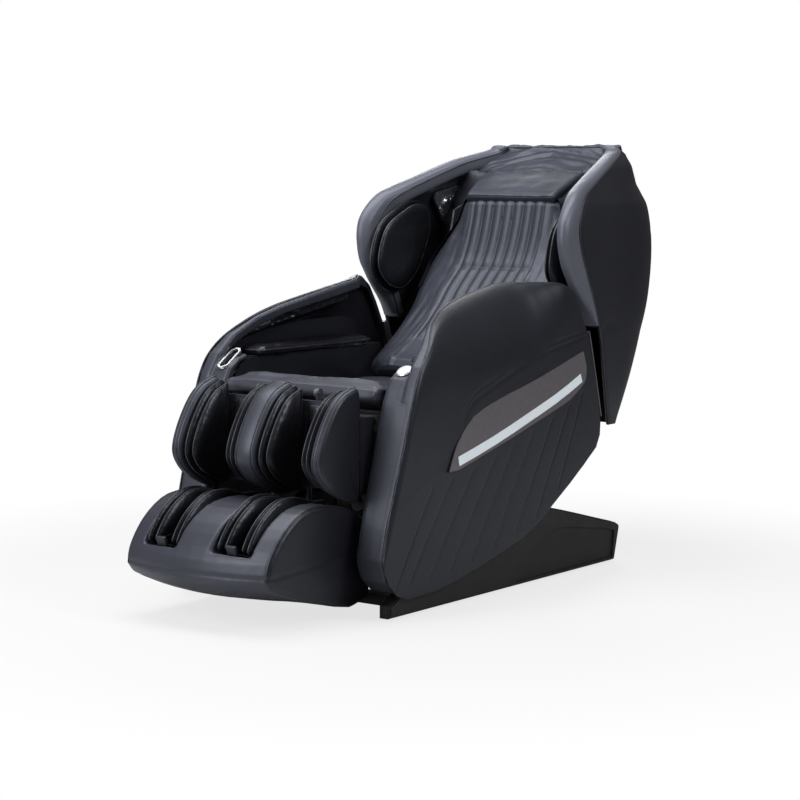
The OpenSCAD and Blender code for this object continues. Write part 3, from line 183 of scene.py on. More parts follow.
def spread(n, l, value, low, high, to_low, to_high, way="LINEAR"):
    """Stretches one range of a value over another."""
    r = n.new("ShaderNodeMapRange")
    r.interpolation_type = way
    ends = {"Value": value, "From Min": low, "From Max": high, "To Min": to_low, "To Max": to_high}
    for key, end in ends.items():
        feed(l, end, r.inputs[key])
    return r.outputs["Result"]


def mix_shaders(n, l, share, first, second, out):
    """Shows the second shader where the share is 1, and the first where it is 0."""
    mix = n.new("ShaderNodeMixShader")
    for source, socket in zip((share, first.outputs[0], second.outputs[0]), mix.inputs):
        l.new(source, socket)
    l.new(mix.outputs[0], out.inputs["Surface"])


print("node tools ready")

# %% [markdown]
# ## Studio
# Near-black leather shows its form by what it mirrors, so the lamps are large and few: one broad
# sheet overhead, a long box in front on the sitter's right, a smaller one high on the sitter's
# left, and a weak one behind. The sky itself is dim, so that upright faces stay dark. The floor
# takes the chair's shadow near it and fades into the white backdrop further out.

# %% Floor, world and lamps
WHITE = (1, 1, 1, 1)
FLOOR_HALF, FLOOR_GREY = 30.0, 0.55
GLOW_FROM, GLOW_TO, GLOW_LEAST = 0.9, 2.0, 0.74
SKY_LIGHT, SKY_SEEN = 0.13, 1.0


def paint_floor():
    """Grey to the lamps, and glowing to the camera, more so away from the chair."""
    m, n, l, out = new_material("studio_floor")
    lit = n.new("ShaderNodeBsdfPrincipled")
    set_inputs(lit, {"Base Color": (FLOOR_GREY, FLOOR_GREY, FLOOR_GREY, 1), "Roughness": 0.55})
    glow = n.new("ShaderNodeEmission")
    set_inputs(glow, {"Color": WHITE})
    away = n.new("ShaderNodeVectorMath")
    away.operation = "LENGTH"
    l.new(n.new("ShaderNodeNewGeometry").outputs["Position"], away.inputs[0])
    path = n.new("ShaderNodeLightPath").outputs
    seen = maths(n, l, "MAXIMUM", path["Is Camera Ray"], path["Is Transmission Ray"])
    bright = spread(n, l, away.outputs["Value"], GLOW_FROM, GLOW_TO, GLOW_LEAST, 1.0, "SMOOTHSTEP")
    mix_shaders(n, l, maths(n, l, "MULTIPLY", seen, bright), lit, glow, out)
    return m


def lay_floor():
    h = FLOOR_HALF
    corners = [(-h, -h, 0), (h, -h, 0), (h, h, 0), (-h, h, 0)]
    floor = new_object("studio_floor", new_mesh("studio_floor", corners, [(0, 1, 2, 3)]))
    floor.data.materials.append(paint_floor())


def light_world():
    """White to the camera and dim to everything else."""
    world = bpy.data.worlds.new("studio_world")
    bpy.context.scene.world = world
    world.use_nodes = True
    n, l = world.node_tree.nodes, world.node_tree.links
    n.clear()
    skies = [n.new("ShaderNodeBackground") for _ in range(2)]
    for sky, strength in zip(skies, (SKY_LIGHT, SKY_SEEN)):
        set_inputs(sky, {"Color": WHITE, "Strength": strength})
    seen = n.new("ShaderNodeLightPath").outputs["Is Camera Ray"]
    mix_shaders(n, l, seen, *skies, n.new("ShaderNodeOutputWorld"))


def soft_box(name, place, target, width, height, watts):
    lamp = bpy.data.lights.new(name, "AREA")
    lamp.shape, lamp.size, lamp.size_y, lamp.energy = "RECTANGLE", width, height, watts
    box = new_object(name, lamp)
    box.location = place
    box.rotation_euler = (Vector(target) - Vector(place)).to_track_quat("-Z", "Y").to_euler()


bpy.context.scene.view_settings.view_transform = "Standard"
lay_floor()
light_world()
soft_box("lamp_overhead", (-0.4, -0.3, 3.2), (0, 0, 0.4), 2.4, 2.8, 110)
soft_box("lamp_front", (-1.1, -3.6, 2.2), (0, -0.2, 0.5), 1.5, 2.4, 105)
soft_box("lamp_side", (3.3, 0.2, 2.9), (0.2, 0.2, 0.6), 1.2, 2.0, 72)
soft_box("lamp_back", (-2.2, 3.2, 2.2), (0, 0.2, 0.7), 1.6, 1.6, 40)
print("floor, world and four lamps")

# %% [markdown]
# ## Shared surface effects
# Three effects return on many finishes, so each is a node group built once: leather grain with its
# slow unevenness, fine moulding texture on plastic, and a mask of convex edges for a painted
# highlight. A group gives only masks, values and colours. The shader itself stays in each material,
# where it can be read and exported.

# %% Helpers for node groups
def new_group(name, inputs, outputs):
    """A node group of plain values: the group, its nodes and links, its inputs and outputs."""
    g = bpy.data.node_groups.new(name, "ShaderNodeTree")
    for label, value in inputs.items():
        s = g.interface.new_socket(label, in_out="INPUT", socket_type="NodeSocketFloat")
        s.default_value = value
    for label in outputs:
        g.interface.new_socket(label, in_out="OUTPUT", socket_type="NodeSocketFloat")
    gin, gout = g.nodes.new("NodeGroupInput"), g.nodes.new("NodeGroupOutput")
    return g, g.nodes, g.links, gin.outputs, gout.inputs


def texture(n, l, kind, scale, coords=None, **settings):
    t = n.new("ShaderNodeTex" + kind)
    if coords is None:
        coords = n.new("ShaderNodeTexCoord").outputs["Object"]
    l.new(coords, t.inputs["Vector"])
    feed(l, scale, t.inputs["Scale"])
    set_inputs(t, settings)
    return t.outputs


def sum_of(n, l, *weighted):
    """Adds values, each times its weight. A weight is a number or a socket."""
    total = None
    for value, weight in weighted:
        part = maths(n, l, "MULTIPLY", value, weight)
        total = part if total is None else maths(n, l, "ADD", total, part)
    return total


print("node helpers ready")

# %% [markdown]
# ### Leather grain
# Pressed leather is a field of rounded pebbles about a millimetre across, with slow waves where the
# hide lies loose over foam. A Voronoi texture gives the pebbles, and two noises give the waves and
# the faint changes of gloss.

# %% Build the leather grain group
def build_grain():
    g, n, l, given, out = new_group(
        "leather_grain", {"Pebble Scale": 620.0, "Wave Scale": 14.0, "Wave Height": 0.5},
        ("Height", "Tone", "Gloss Change"))
    pebble = texture(n, l, "Voronoi", given["Pebble Scale"], Randomness=0.9)["Distance"]
    wave = texture(n, l, "Noise", given["Wave Scale"], Detail=3.0, Distortion=0.9)["Fac"]
    patch = texture(n, l, "Noise", 5.0, Detail=2.0)["Fac"]
    fine = texture(n, l, "Noise", 240.0, Detail=2.0)["Fac"]
    height = sum_of(n, l, (pebble, -0.10), (fine, 0.05), (wave, given["Wave Height"]))
    l.new(height, out["Height"])
    l.new(spread(n, l, patch, 0.3, 0.7, 0.0, 1.0), out["Tone"])
    l.new(spread(n, l, fine, 0.3, 0.7, -1.0, 1.0), out["Gloss Change"])
    return g


grain_group = build_grain()
print("group:", grain_group.name)

# %% [markdown]
# ### Moulding texture and painted edge highlights
# Injection-moulded plastic has an even, very fine spark texture. Convex edges are painted paler, a
# painted highlight where they would catch the light: Pointiness finds them from the mesh itself.

# %% Build the moulding and edge groups
def build_moulding():
    g, n, l, given, out = new_group("moulded_skin", {"Spark Scale": 1400.0},
                                    ("Height", "Gloss Change"))
    l.new(texture(n, l, "Noise", given["Spark Scale"], Detail=3.0)["Fac"], out["Height"])
    cloud = texture(n, l, "Noise", 9.0, Detail=4.0)["Fac"]
    l.new(spread(n, l, cloud, 0.3, 0.7, -1.0, 1.0), out["Gloss Change"])
    return g


def build_edge_highlight():
    # A painted highlight: a mask of convex edges, broken by noise, that makes a finish paler.
    g, n, l, given, out = new_group("painted_edge_highlight", {"Start": 0.52, "End": 0.62}, ("Mask",))
    pointed = n.new("ShaderNodeNewGeometry").outputs["Pointiness"]
    found = spread(n, l, pointed, given["Start"], given["End"], 0.0, 1.0)
    broken = texture(n, l, "Noise", 60.0, Detail=4.0)["Fac"]
    uneven = spread(n, l, broken, 0.35, 0.65, 0.2, 1.0)
    l.new(maths(n, l, "MULTIPLY", found, uneven), out["Mask"])
    return g


moulding_group, edge_highlight_group = build_moulding(), build_edge_highlight()
print("groups:", moulding_group.name, edge_highlight_group.name)


# %% Place a group in a material
def new_skin(name):
    """A material whose surface is one Principled shader."""
    m, n, l, out = new_material(name)
    skin = n.new("ShaderNodeBsdfPrincipled")
    l.new(skin.outputs[0], out.inputs["Surface"])
    return m, n, l, skin


def place_group(n, group, values={}):
    g = n.new("ShaderNodeGroup")
    g.node_tree = group
    set_inputs(g, values)
    return g.outputs


def colour(n, l, skin, mask, low, high):
    """The first colour where the mask is 0, and the second where it is 1."""
    m = n.new("ShaderNodeMix")
    m.data_type = "RGBA"
    l.new(mask, m.inputs["Factor"])
    set_inputs(m, {"A": (*low, 1), "B": (*high, 1)})
    l.new(m.outputs["Result"], skin.inputs["Base Color"])


def gloss(n, l, skin, change, low, high, smooth, rough):
    l.new(spread(n, l, change, low, high, smooth, rough), skin.inputs["Roughness"])


def bumped(n, l, skin, height, strength, distance):
    b = n.new("ShaderNodeBump")
    set_inputs(b, {"Strength": strength, "Distance": distance})
    l.new(height, b.inputs["Height"])
    l.new(b.outputs["Normal"], skin.inputs["Normal"])


print("material helpers ready")

# %% [markdown]
# ## Leathers
# The cover is coated synthetic leather in several cuts: dark charcoal for the big panels, slate
# for the bands and humps, a paler one for the roll of the hood, a soft near-black for the air pads,
# and grey for the soles. All share the grain group and differ in colour, gloss and how loosely
# they lie.

# %% Mix the leathers
finish = {}


def leather(name, low, high, rough, wave_scale=14.0, wave_height=0.5, depth=0.0012):
    m, n, l, skin = new_skin(name)
    g = place_group(n, grain_group, {"Wave Scale": wave_scale, "Wave Height": wave_height})
    colour(n, l, skin, g["Tone"], low, high)
    gloss(n, l, skin, g["Gloss Change"], -1, 1, rough - 0.04, rough + 0.05)
    set_inputs(skin, {"IOR": 1.48, "Specular Tint": (0.80, 0.86, 1.0, 1), "Coat Roughness": 0.3})
    bumped(n, l, skin, g["Height"], 0.55, depth)
    return m


for name, *look in (
        ("dark_leather", (0.0075, 0.0075, 0.0105), (0.011, 0.011, 0.015), 0.40),
        ("slate_leather", (0.024, 0.025, 0.034), (0.033, 0.034, 0.046), 0.42),
        ("back_leather", (0.022, 0.0235, 0.033), (0.030, 0.032, 0.044), 0.42, 20.0, 0.9, 0.0018),
        ("pad_leather", (0.0055, 0.0055, 0.007), (0.009, 0.009, 0.011), 0.32, 26.0, 1.3, 0.0022),
        ("roll_leather", (0.080, 0.084, 0.104), (0.098, 0.102, 0.126), 0.42),
        ("wall_leather", (0.012, 0.013, 0.017), (0.017, 0.018, 0.024), 0.42),
        ("sole_leather", (0.011, 0.011, 0.014), (0.016, 0.016, 0.020), 0.50),
        ("piping_leather", (0.020, 0.020, 0.024), (0.028, 0.028, 0.033), 0.40)):
    finish[name] = leather(name, *look)
print("leathers:", ", ".join(finish))
print("leathers:", ", ".join(finish))

# %% [markdown]
# ## Plastic, metal and light
# The base and the shell parts are moulded black plastic, the side insert is a satin taupe plate
# with a milky light strip, and the speaker rims, the pocket bezel and the knob are bright. Inner
# parts are painted steel, zinc-plated steel and grey motor housings.

# %% Mix the hard finishes
def moulded(name, plain, edge_highlight_colour, rough, depth=0.0002, metallic=0.0, coat=0.0):
    m, n, l, skin = new_skin(name)
    g = place_group(n, moulding_group)
    # Convex edges take the paler second colour: a painted highlight where they would catch the
    # light.
    colour(n, l, skin, place_group(n, edge_highlight_group)["Mask"], plain, edge_highlight_colour)
    gloss(n, l, skin, g["Gloss Change"], -1, 1, rough - 0.03, rough + 0.04)
    set_inputs(skin, {"Metallic": metallic, "Coat Weight": coat, "Coat Roughness": 0.12})
    bumped(n, l, skin, g["Height"], 0.25, depth)
    return m


def brushed(name, plain, rough, scale=(40.0, 40.0, 900.0)):
    """Metal drawn along one direction, whose fine lines change its gloss."""
    m, n, l, skin = new_skin(name)
    stretch = n.new("ShaderNodeMapping")
    set_inputs(stretch, {"Scale": scale})
    l.new(n.new("ShaderNodeTexCoord").outputs["Object"], stretch.inputs["Vector"])
    lines = texture(n, l, "Noise", 6.0, coords=stretch.outputs[0], Detail=4.0)["Fac"]
    gloss(n, l, skin, lines, 0.3, 0.7, rough - 0.05, rough + 0.08)
    colour(n, l, skin, lines, plain, tuple(min(1.0, c * 1.12) for c in plain))
    set_inputs(skin, {"Metallic": 1.0})
    bumped(n, l, skin, lines, 0.08, 0.0001)
    return m


# Each row: name, plain colour, paler colour painted on convex edges as a highlight, roughness, then
# bump depth, metallic, coat.
for name, *look in (
        ("black_plastic", (0.005, 0.005, 0.0055), (0.014, 0.014, 0.015), 0.62),
        ("wheel_plastic", (0.014, 0.014, 0.015), (0.04, 0.04, 0.042), 0.5),
        ("foot_rubber", (0.008, 0.008, 0.008), (0.02, 0.02, 0.02), 0.8),
        ("frame_steel", (0.020, 0.021, 0.023), (0.10, 0.10, 0.11), 0.42),
        ("motor_grey", (0.09, 0.095, 0.105), (0.16, 0.165, 0.18), 0.45),
        ("switch_red", (0.42, 0.015, 0.012), (0.55, 0.05, 0.04), 0.3),
        ("taupe_plate", (0.120, 0.111, 0.122), (0.140, 0.130, 0.141), 0.36, 0.0001, 0.35, 0.25),
        ("pcb_green", (0.02, 0.09, 0.05), (0.05, 0.15, 0.09), 0.5),
        ("key_black", (0.012, 0.012, 0.013), (0.05, 0.05, 0.052), 0.3, 0.0002, 0.0, 0.4),
        ("roller_brown", (0.12, 0.055, 0.03), (0.18, 0.09, 0.05), 0.6),
        ("knob_silver", (0.62, 0.64, 0.67), (0.75, 0.77, 0.8), 0.3, 0.00005, 0.45, 0.3)):
    finish[name] = moulded(name, *look)
finish["zinc_steel"] = brushed("zinc_steel", (0.55, 0.56, 0.57), 0.32)
finish["chrome_trim"] = brushed("chrome_trim", (0.88, 0.89, 0.92), 0.30)
print("finishes:", len(finish))

# %% [markdown]
# The light strip is a milky cover over a row of lamps. It is off: the white comes from the
# material's own colour, with a soft coat and a slightly uneven depth.

# %% Mix the light strip
def milky(name):
    m, n, l, skin = new_skin(name)
    cloud = texture(n, l, "Noise", 30.0, Detail=2.0)["Fac"]
    colour(n, l, skin, cloud, (0.88, 0.90, 0.96), (0.92, 0.94, 0.98))
    set_inputs(skin, {"Roughness": 0.22, "Subsurface Weight": 0.15, "Coat Weight": 0.5})
    bumped(n, l, skin, cloud, 0.05, 0.0002)
    return m


finish["light_white"] = milky("light_white")
print("light strip finish ready")


# %% Give each frame node its finish
for part in frame["record"]["subparts"]:
    materials = nodes[part["node"]].data.materials
    materials.clear()
    materials.append(finish[part["material_slot"]])

# %% [markdown]
# ## Mesh tools
# Upholstery here is made in three ways. Big smooth covers are lofted through many cross-sections,
# with seams pressed in by moving points. Stuffed pieces start from their CAD solid, remeshed to
# even quads, and the softest of them swell in a short cloth simulation. Air pads are lens-shaped
# bags built from rings that shrink to their middle, with gathers along the seam.


def add_piece(name, points, faces, material, body, stands_for=(), sharp=45):
    mesh = new_mesh(name, [tuple(map(float, p)) for p in points], faces)
    mesh.update()
    return dress(new_object(name, mesh), material, body, stands_for, sharp)


def dress(obj, material, body, stands_for=(), sharp=45):
    obj.data.materials.clear()
    obj.data.materials.append(finish[material])
    obj.data.polygons.foreach_set("use_smooth", [True] * len(obj.data.polygons))
    obj.data.set_sharp_from_angle(angle=math.radians(sharp))
    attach(obj, body)
    if stands_for:
        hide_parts(*stands_for)
    return obj


def skin(rings, capped=True):
    """Points and faces of a skin over closed rings, given as a rings x points x 3 array."""
    rings = np.asarray(rings, float)
    m, n = rings.shape[:2]
    points = rings.reshape(-1, 3)
    faces = [(j * n + i, j * n + (i + 1) % n, (j + 1) * n + (i + 1) % n, (j + 1) * n + i)
             for j in range(m - 1) for i in range(n)]
    if capped:
        points = np.vstack([points, rings[0].mean(0), rings[-1].mean(0)])
        a, b = m * n, m * n + 1
        faces += [((i + 1) % n, i, a) for i in range(n)]
        faces += [((m - 1) * n + i, (m - 1) * n + (i + 1) % n, b) for i in range(n)]
    return points, outward(points, faces)


def drawn_skin(rings, **how):
    """The same over rings in the drawing's millimetres."""
    return skin((np.array(rings, float) - [0, MID_Y, 0]) / 1000, **how)


def outward(points, faces):
    """The faces, turned over where they enclose a negative volume."""
    p = np.asarray(points, float)
    volume = 0.0
    for f in faces:
        for k in range(1, len(f) - 1):
            volume += np.dot(p[f[0]], np.cross(p[f[k]], p[f[k + 1]]))
    return faces if volume > 0 else [tuple(reversed(f)) for f in faces]


def joined(parts):
    """Several pairs of points and faces as one."""
    points, faces = [], []
    for p, f in parts:
        base = len(points)
        points.extend(np.array([list(q) for q in p], float).tolist())
        faces.extend(tuple(base + i for i in face) for face in f)
    return points, faces


def both_sides(name, points, faces, material, body, nodes_lr=(), sharp=45):
    """The piece on the sitter's left, and its mirror image on the right."""
    left = add_piece(name + "_left", points, faces, material, body, nodes_lr[:1], sharp)
    mirrored = np.array([list(q) for q in points], float) * [-1, 1, 1]
    turned = [tuple(reversed(f)) for f in faces]
    right = add_piece(name + "_right", mirrored, turned, material, body, nodes_lr[1:], sharp)
    return left, right


print("mesh tools ready")

# %% [markdown]
# ### Piping and stitches
# A piped seam is a thin cord sewn into leather: a tube along the seam. A topstitched seam is a row
# of threads, each a small spindle lying in the surface. Both are gathered into one mesh for
# each body, so that they stay few objects.

# %% Sew piping and threads
trim = {}
THIN_PIPE, FLAT_PIPE, SEAM_PIPE, FULL_PIPE, WIDE_PIPE = 0.0016, 0.0018, 0.0022, 0.0024, 0.0026
STITCH_PITCH, STITCH_LENGTH, STITCH_RADIUS = 0.0075, 0.0052, 0.0007
SPINDLE = [(0, 2, 1), (0, 3, 2), (0, 4, 3), (0, 1, 4), (5, 1, 2), (5, 2, 3), (5, 3, 4), (5, 4, 1)]


def tube(points, radius, sides=6):
    p = np.array([list(q) for q in points], float)
    ahead = np.roll(p, -1, 0) - np.roll(p, 1, 0)
    ahead[0], ahead[-1] = p[1] - p[0], p[-1] - p[-2]
    ahead /= np.linalg.norm(ahead, axis=1)[:, None] + 1e-12
    up = np.cross(ahead[0], (0.31, 0.52, 0.79))
    turns = np.linspace(0, 2 * math.pi, sides, endpoint=False)
    rings = []
    for place, way in zip(p, ahead):
        up = up - way * np.dot(up, way)
        up /= np.linalg.norm(up) + 1e-12
        side = np.cross(way, up)
        rings.append([place + radius * (math.cos(t) * up + math.sin(t) * side) for t in turns])
    return skin(rings)


def gather(kind, body, points, faces):
    trim.setdefault((kind, body), []).append((points, faces))


def pipe(points, body, radius):
    gather("piping", body, *tube(evenly(points, 0.006), radius))


def pipe_round(points, body, radius):
    """Piping along a line that comes back to its start."""
    pipe(points + points[:1], body, radius)


def sew(points, body):
    """Threads along a line that lies on the surface, each one a spindle."""
    line = evenly(points, STITCH_PITCH)
    for a, b in zip(line, line[1:]):
        mid, d = (a + b) / 2, (b - a).normalized() * STITCH_LENGTH / 2
        side = d.orthogonal().normalized() * STITCH_RADIUS
        other = d.cross(side).normalized() * STITCH_RADIUS
        waist = [mid + side, mid + other, mid - side, mid - other]
        gather("stitching", body, [mid - d, *waist, mid + d], SPINDLE)


def surface_of(*objects):
    """One search tree over the meshes of these objects."""
    return BVHTree.FromPolygons(*joined(
        ([o.matrix_world @ v.co for v in o.data.vertices], [f.vertices for f in o.data.polygons])
        for o in objects))


def laid(surface, line, way, lift=0.0004, start=0.0):
    """Points of a line moved along `way` until they lie on the surface."""
    way = Vector(way).normalized()
    hits = [surface.ray_cast(Vector(p) - way * start, way)[0] for p in line]
    return [hit - way * lift for hit in hits if hit is not None]


def twice(f):
    """Runs a maker of seams for both sides: s = 1 on the left and -1 on the right."""
    for s in (1, -1):
        f(s)


print("sewing tools ready")

# %% [markdown]
# ### Stuffed pieces
# A cushion's look comes from air or foam pushing against a cover that can't stretch. Cloth with an
# inner pressure finds that shape by itself. The solid is drawn in a little first, because it
# swells back, and no point may travel further than a cap, so it keeps clear of what it touches.

# %% Remesh, smooth and swell
def remeshed(node, voxel):
    work = new_object("work", nodes[node].data.copy())
    m = work.modifiers.new("even", "REMESH")
    m.mode, m.voxel_size = "VOXEL", voxel
    graph = bpy.context.evaluated_depsgraph_get()
    mesh = bpy.data.meshes.new_from_object(work.evaluated_get(graph))
    bpy.data.objects.remove(work)
    return mesh


def read(items, key):
    """One coordinate triple for each item, as an array."""
    values = np.zeros(len(items) * 3)
    items.foreach_get(key, values)
    return values.reshape(-1, 3)


def points_of(mesh):
    return read(mesh.vertices, "co")


def put_points(mesh, co):
    mesh.vertices.foreach_set("co", np.asarray(co, float).ravel())
    mesh.update()


def relaxed(mesh, rounds, pull=0.5, push=-0.45):
    """Smooths a mesh: its points move to the mean of their neighbours, then partly back."""
    edges = np.zeros(len(mesh.edges) * 2, int)
    mesh.edges.foreach_get("vertices", edges)
    a, b = edges.reshape(-1, 2).T
    co = points_of(mesh)
    count = np.bincount(np.r_[a, b], minlength=len(co))[:, None].clip(1)
    for step in range(rounds):
        total = np.zeros_like(co)
        np.add.at(total, a, co[b])
        np.add.at(total, b, co[a])
        co += (total / count - co) * (push if step % 2 else pull)
    put_points(mesh, co)
    return mesh


PRESSURE, FRAMES = 4.0, 20


def swell(mesh, cap, free=None):
    """Cloth with inner pressure, whose points move at most `cap`. `free` says how free each is."""
    rest = points_of(mesh)
    work = new_object("work", mesh)
    cloth = work.modifiers.new("cloth", "CLOTH").settings
    cloth.quality, cloth.mass = 4, 0.3
    cloth.tension_stiffness = cloth.compression_stiffness = 12
    cloth.bending_stiffness = 0.4
    cloth.use_pressure, cloth.uniform_pressure_force = True, PRESSURE
    cloth.effector_weights.gravity = 0
    scene = bpy.context.scene
    for f in range(1, FRAMES + 1):
        scene.frame_set(f)
    graph = bpy.context.evaluated_depsgraph_get()
    moved = points_of(work.evaluated_get(graph).to_mesh()) - rest
    work.modifiers.clear()
    bpy.data.objects.remove(work)
    scene.frame_set(1)
    length = np.linalg.norm(moved, axis=1)[:, None]
    moved *= np.minimum(1, cap / (length + 1e-9))
    if free is not None:
        moved *= free(rest)[:, None]
    put_points(mesh, rest + moved)


def stuffed(name, node, material, voxel, rounds, draw, cap=0, free=None, shape=None):
    """A stuffed piece for a CAD solid: remeshed, smoothed, drawn in and swollen up to its cap."""
    mesh = relaxed(remeshed(node, voxel), rounds)
    put_points(mesh, points_of(mesh) - read(mesh.vertices, "normal") * draw)
    if cap:
        swell(mesh, cap, free)
    if shape is not None:
        put_points(mesh, shape(points_of(mesh), read(mesh.vertices, "normal")))
    obj = dress(new_object(name, mesh), material, body_of[node], [node], sharp=80)
    print(name, len(mesh.vertices), "points")
    return obj


def twin(obj, name, node, sharp=80):
    """The mirror image of a finished piece, standing for the node of the other side."""
    mesh = obj.data.copy()
    mesh.transform(Matrix.Scale(-1, 4, (1, 0, 0)))
    mesh.flip_normals()
    return dress(new_object(name, mesh), mesh.materials[0].name, body_of[node], [node], sharp)


def noise_at(x, y, z):
    return noise.noise(Vector((x, y, z)))


def wrinkled(co, scale, height, seed):
    """Soft random folds at points: positive and negative heights."""
    shift = Vector((seed, seed * 0.7, 0))
    return np.array([noise.noise(Vector(q * scale) + shift) for q in co]) * height


print("stuffing tools ready")

# %% [markdown]
# ## Side panels
# Each arm is one sweeping leather cover: nearly flat outside, tucked in towards the floor, and
# curling over the armrest. It is lofted from front to rear through finely spaced sections, so the
# crest runs in one curve. Slanting sewn channels below the insert and a doubled crease above it
# are pressed into the points themselves.

# %% Sections of the side panel
ARM_ROWS = [(-492, 160, 9, 12), (-472, 243, 9, 34), (-443, 340, 9, 40), (-412, 445, 9, 40),
            (-397, 500, 9, 40), (-381, 550, 9, 45), (-363, 600, 10, 55), (-332, 650, 14, 80),
            (-279, 700, 30, 120), (-206, 750, 74, 170), (-133, 780, 104, 190), (-53, 800, 124, 200),
            (48, 820, 135, 210), (168, 840, 135, 210), (230, 843, 95, 190), (290, 842, 50, 150),
            (341, 835, 18, 100), (384, 808, 12, 60), (417, 759, 11, 50), (439, 717, 11, 45),
            (452, 690, 11, 30), (470, 630, 11, 20), (492, 550, 11, 16), (520, 440, 11, 12)]
ARM_LOW = [(-494, 138), (-472, 97), (-437, 64), (-388, 49), (-270, 53), (-166, 67), (-50, 92),
           (50, 115), (142, 138), (223, 172), (301, 220), (378, 266), (442, 309), (503, 355),
           (522, 396)]
HALF_W, WALL, LEAST_INSET = 385.0, 6.0, 8.5


def face_x(z):
    """The cover's outer face over height: upright above, tucked in towards the floor."""
    t = np.clip((560 - np.asarray(z, float)) / 420, 0, 1)
    return HALF_W - 13 * t * t * (3 - 2 * t)


def rim_x(row):
    """Where the cover ends at the top of a row, after its curl."""
    return float(face_x(row[1])) - row[2]


def panel_section(row, flat=100, curl_steps=30):
    """One section, from the lower edge up and over the curl, in millimetres."""
    y, top, inset, curl = row
    low = np.interp(y, *zip(*ARM_LOW))
    curl = min(curl, 0.7 * (top - low))
    start = top - curl
    depth = float(face_x(start)) - rim_x(row)
    z = np.linspace(low, start, flat)
    x = face_x(z)
    x[0] -= 3
    a = np.radians(np.linspace(0, 90, curl_steps + 1)[1:])
    x = np.r_[x, float(face_x(start)) - depth * (1 - np.cos(a))]
    z = np.r_[z, start + curl * np.sin(a)]
    return np.stack([x, np.full_like(x, y), z], 1)


def panel_skin():
    rows = curve_through(ARM_ROWS, 12)
    return np.array([panel_section((r[0], r[1], max(r[2], LEAST_INSET), r[3])) for r in rows])


# %% [markdown]
# ### Pressed seams
# A sewn channel is a valley with soft shoulders. Its depth at a point depends only on the distance
# to the nearest seam line, so one function presses every line of the panel.

# %% Press the channels into the panel
QUILTS = [((-292, 330), (-445, 80)), ((-205, 346), (-382, 92)), ((-106, 362), (-298, 90)),
          ((-6, 384), (-205, 98)), ((84, 410), (-108, 112)), ((172, 434), (0, 134)),
          ((266, 462), (104, 158)), ((350, 492), (202, 190)), ((418, 524), (312, 262))]
CREASE = flat_curve([(-160, 500), (-118, 542), (-56, 567), (51, 602), (160, 633), (248, 654),
                     (350, 671), (432, 682)], 6)
UPPER_CREASE = [Vector((p[0] - 4, p[1] + 15, 0)) for p in CREASE]
QUILT_VALLEY, CREASE_VALLEY, UPPER_VALLEY = (3.4, 1.3), (4.0, 1.5), (4.0, 1.0)


def line_distance(y, z, line):
    """Distance from points to a broken line, all in millimetres."""
    best = np.full(y.shape, 1e9)
    for a, b in zip(line, line[1:]):
        d = np.array([b[0] - a[0], b[1] - a[1]], float)
        t = np.clip(((y - a[0]) * d[0] + (z - a[1]) * d[1]) / (d @ d), 0, 1)
        best = np.minimum(best, np.hypot(y - a[0] - t * d[0], z - a[1] - t * d[1]))
    return best


def valley(distance, width, depth):
    """How deep a seam presses at a distance from it."""
    return depth * np.exp(-(distance / width) ** 2)


def pressed_panel():
    s = panel_skin()
    y, z = s[:, :, 1], s[:, :, 2]
    quilt = np.min([line_distance(y, z, ends) for ends in QUILTS], axis=0)
    low = np.array([np.interp(v, *zip(*ARM_LOW)) for v in y[:, 0]])[:, None]
    crest = s[:, -1, 2][:, None]
    bulge = np.clip((z - low) / 30, 0, 1) * np.clip((crest - z) / 60, 0, 1)
    press = valley(quilt, *QUILT_VALLEY)
    press += valley(line_distance(y, z, CREASE), *CREASE_VALLEY)
    press += valley(line_distance(y, z, UPPER_CREASE), *UPPER_VALLEY)
    press -= 0.4 * bulge * np.clip(quilt / 40, 0, 1) * (z < 0.46 * y + 500)
    s[:, :, 0] -= press * (0.25 + 0.75 * bulge)
    return s


outer = pressed_panel()
print("panel grid", outer.shape)

# %% Close the panel and cut the bed of its insert
INSERT_TOP = [(-229, 366), (-193, 435), (-114, 505), (12, 543), (161, 575), (280, 605), (380, 632),
              (421, 642)]
INSERT_LOW = [(438, 600), (432, 556), (356, 510), (258, 481), (162, 455), (68, 430), (-69, 396),
              (-184, 368)]
BED_DEPTH = 4.6


def insert_line(grow):
    """The insert's outline, `grow` millimetres larger all round."""
    ring = np.array([list(p)[:2] for p in flat_curve(INSERT_TOP, 3) + flat_curve(INSERT_LOW, 3)])
    return ring + across(ring, closed=True) * grow


def panel_piece():
    rings = []
    for section in outer:
        rim = section[-1].copy()
        rim[2] -= WALL
        back = section[::4].copy()
        back[:, [0, 2]] += across(back[:, [0, 2]]) * WALL
        back = back[::-1]
        back[:3, 0] = np.maximum(back[:3, 0], rim[0])
        rings.append(np.vstack([section, rim, back]))
    return drawn_skin(rings)


def cut_bed(obj):
    """Cuts the shallow bed of the insert through the cover."""
    ring = insert_line(0.8)
    n = len(ring)
    points = [at(x, y, z) for x in (HALF_W - BED_DEPTH, HALF_W + 20) for y, z in ring]
    faces = [tuple(range(n)), tuple(range(2 * n - 1, n - 1, -1))]
    faces += [(i, n + i, n + (i + 1) % n, (i + 1) % n) for i in range(n)]
    tool = new_object("bed_tool", new_mesh("bed_tool", points, outward(points, faces)))
    cut = obj.modifiers.new("bed", "BOOLEAN")
    cut.operation, cut.object, cut.solver = "DIFFERENCE", tool, "EXACT"
    graph = bpy.context.evaluated_depsgraph_get()
    mesh = bpy.data.meshes.new_from_object(obj.evaluated_get(graph))
    obj.modifiers.clear()
    obj.data = mesh
    bpy.data.objects.remove(tool)


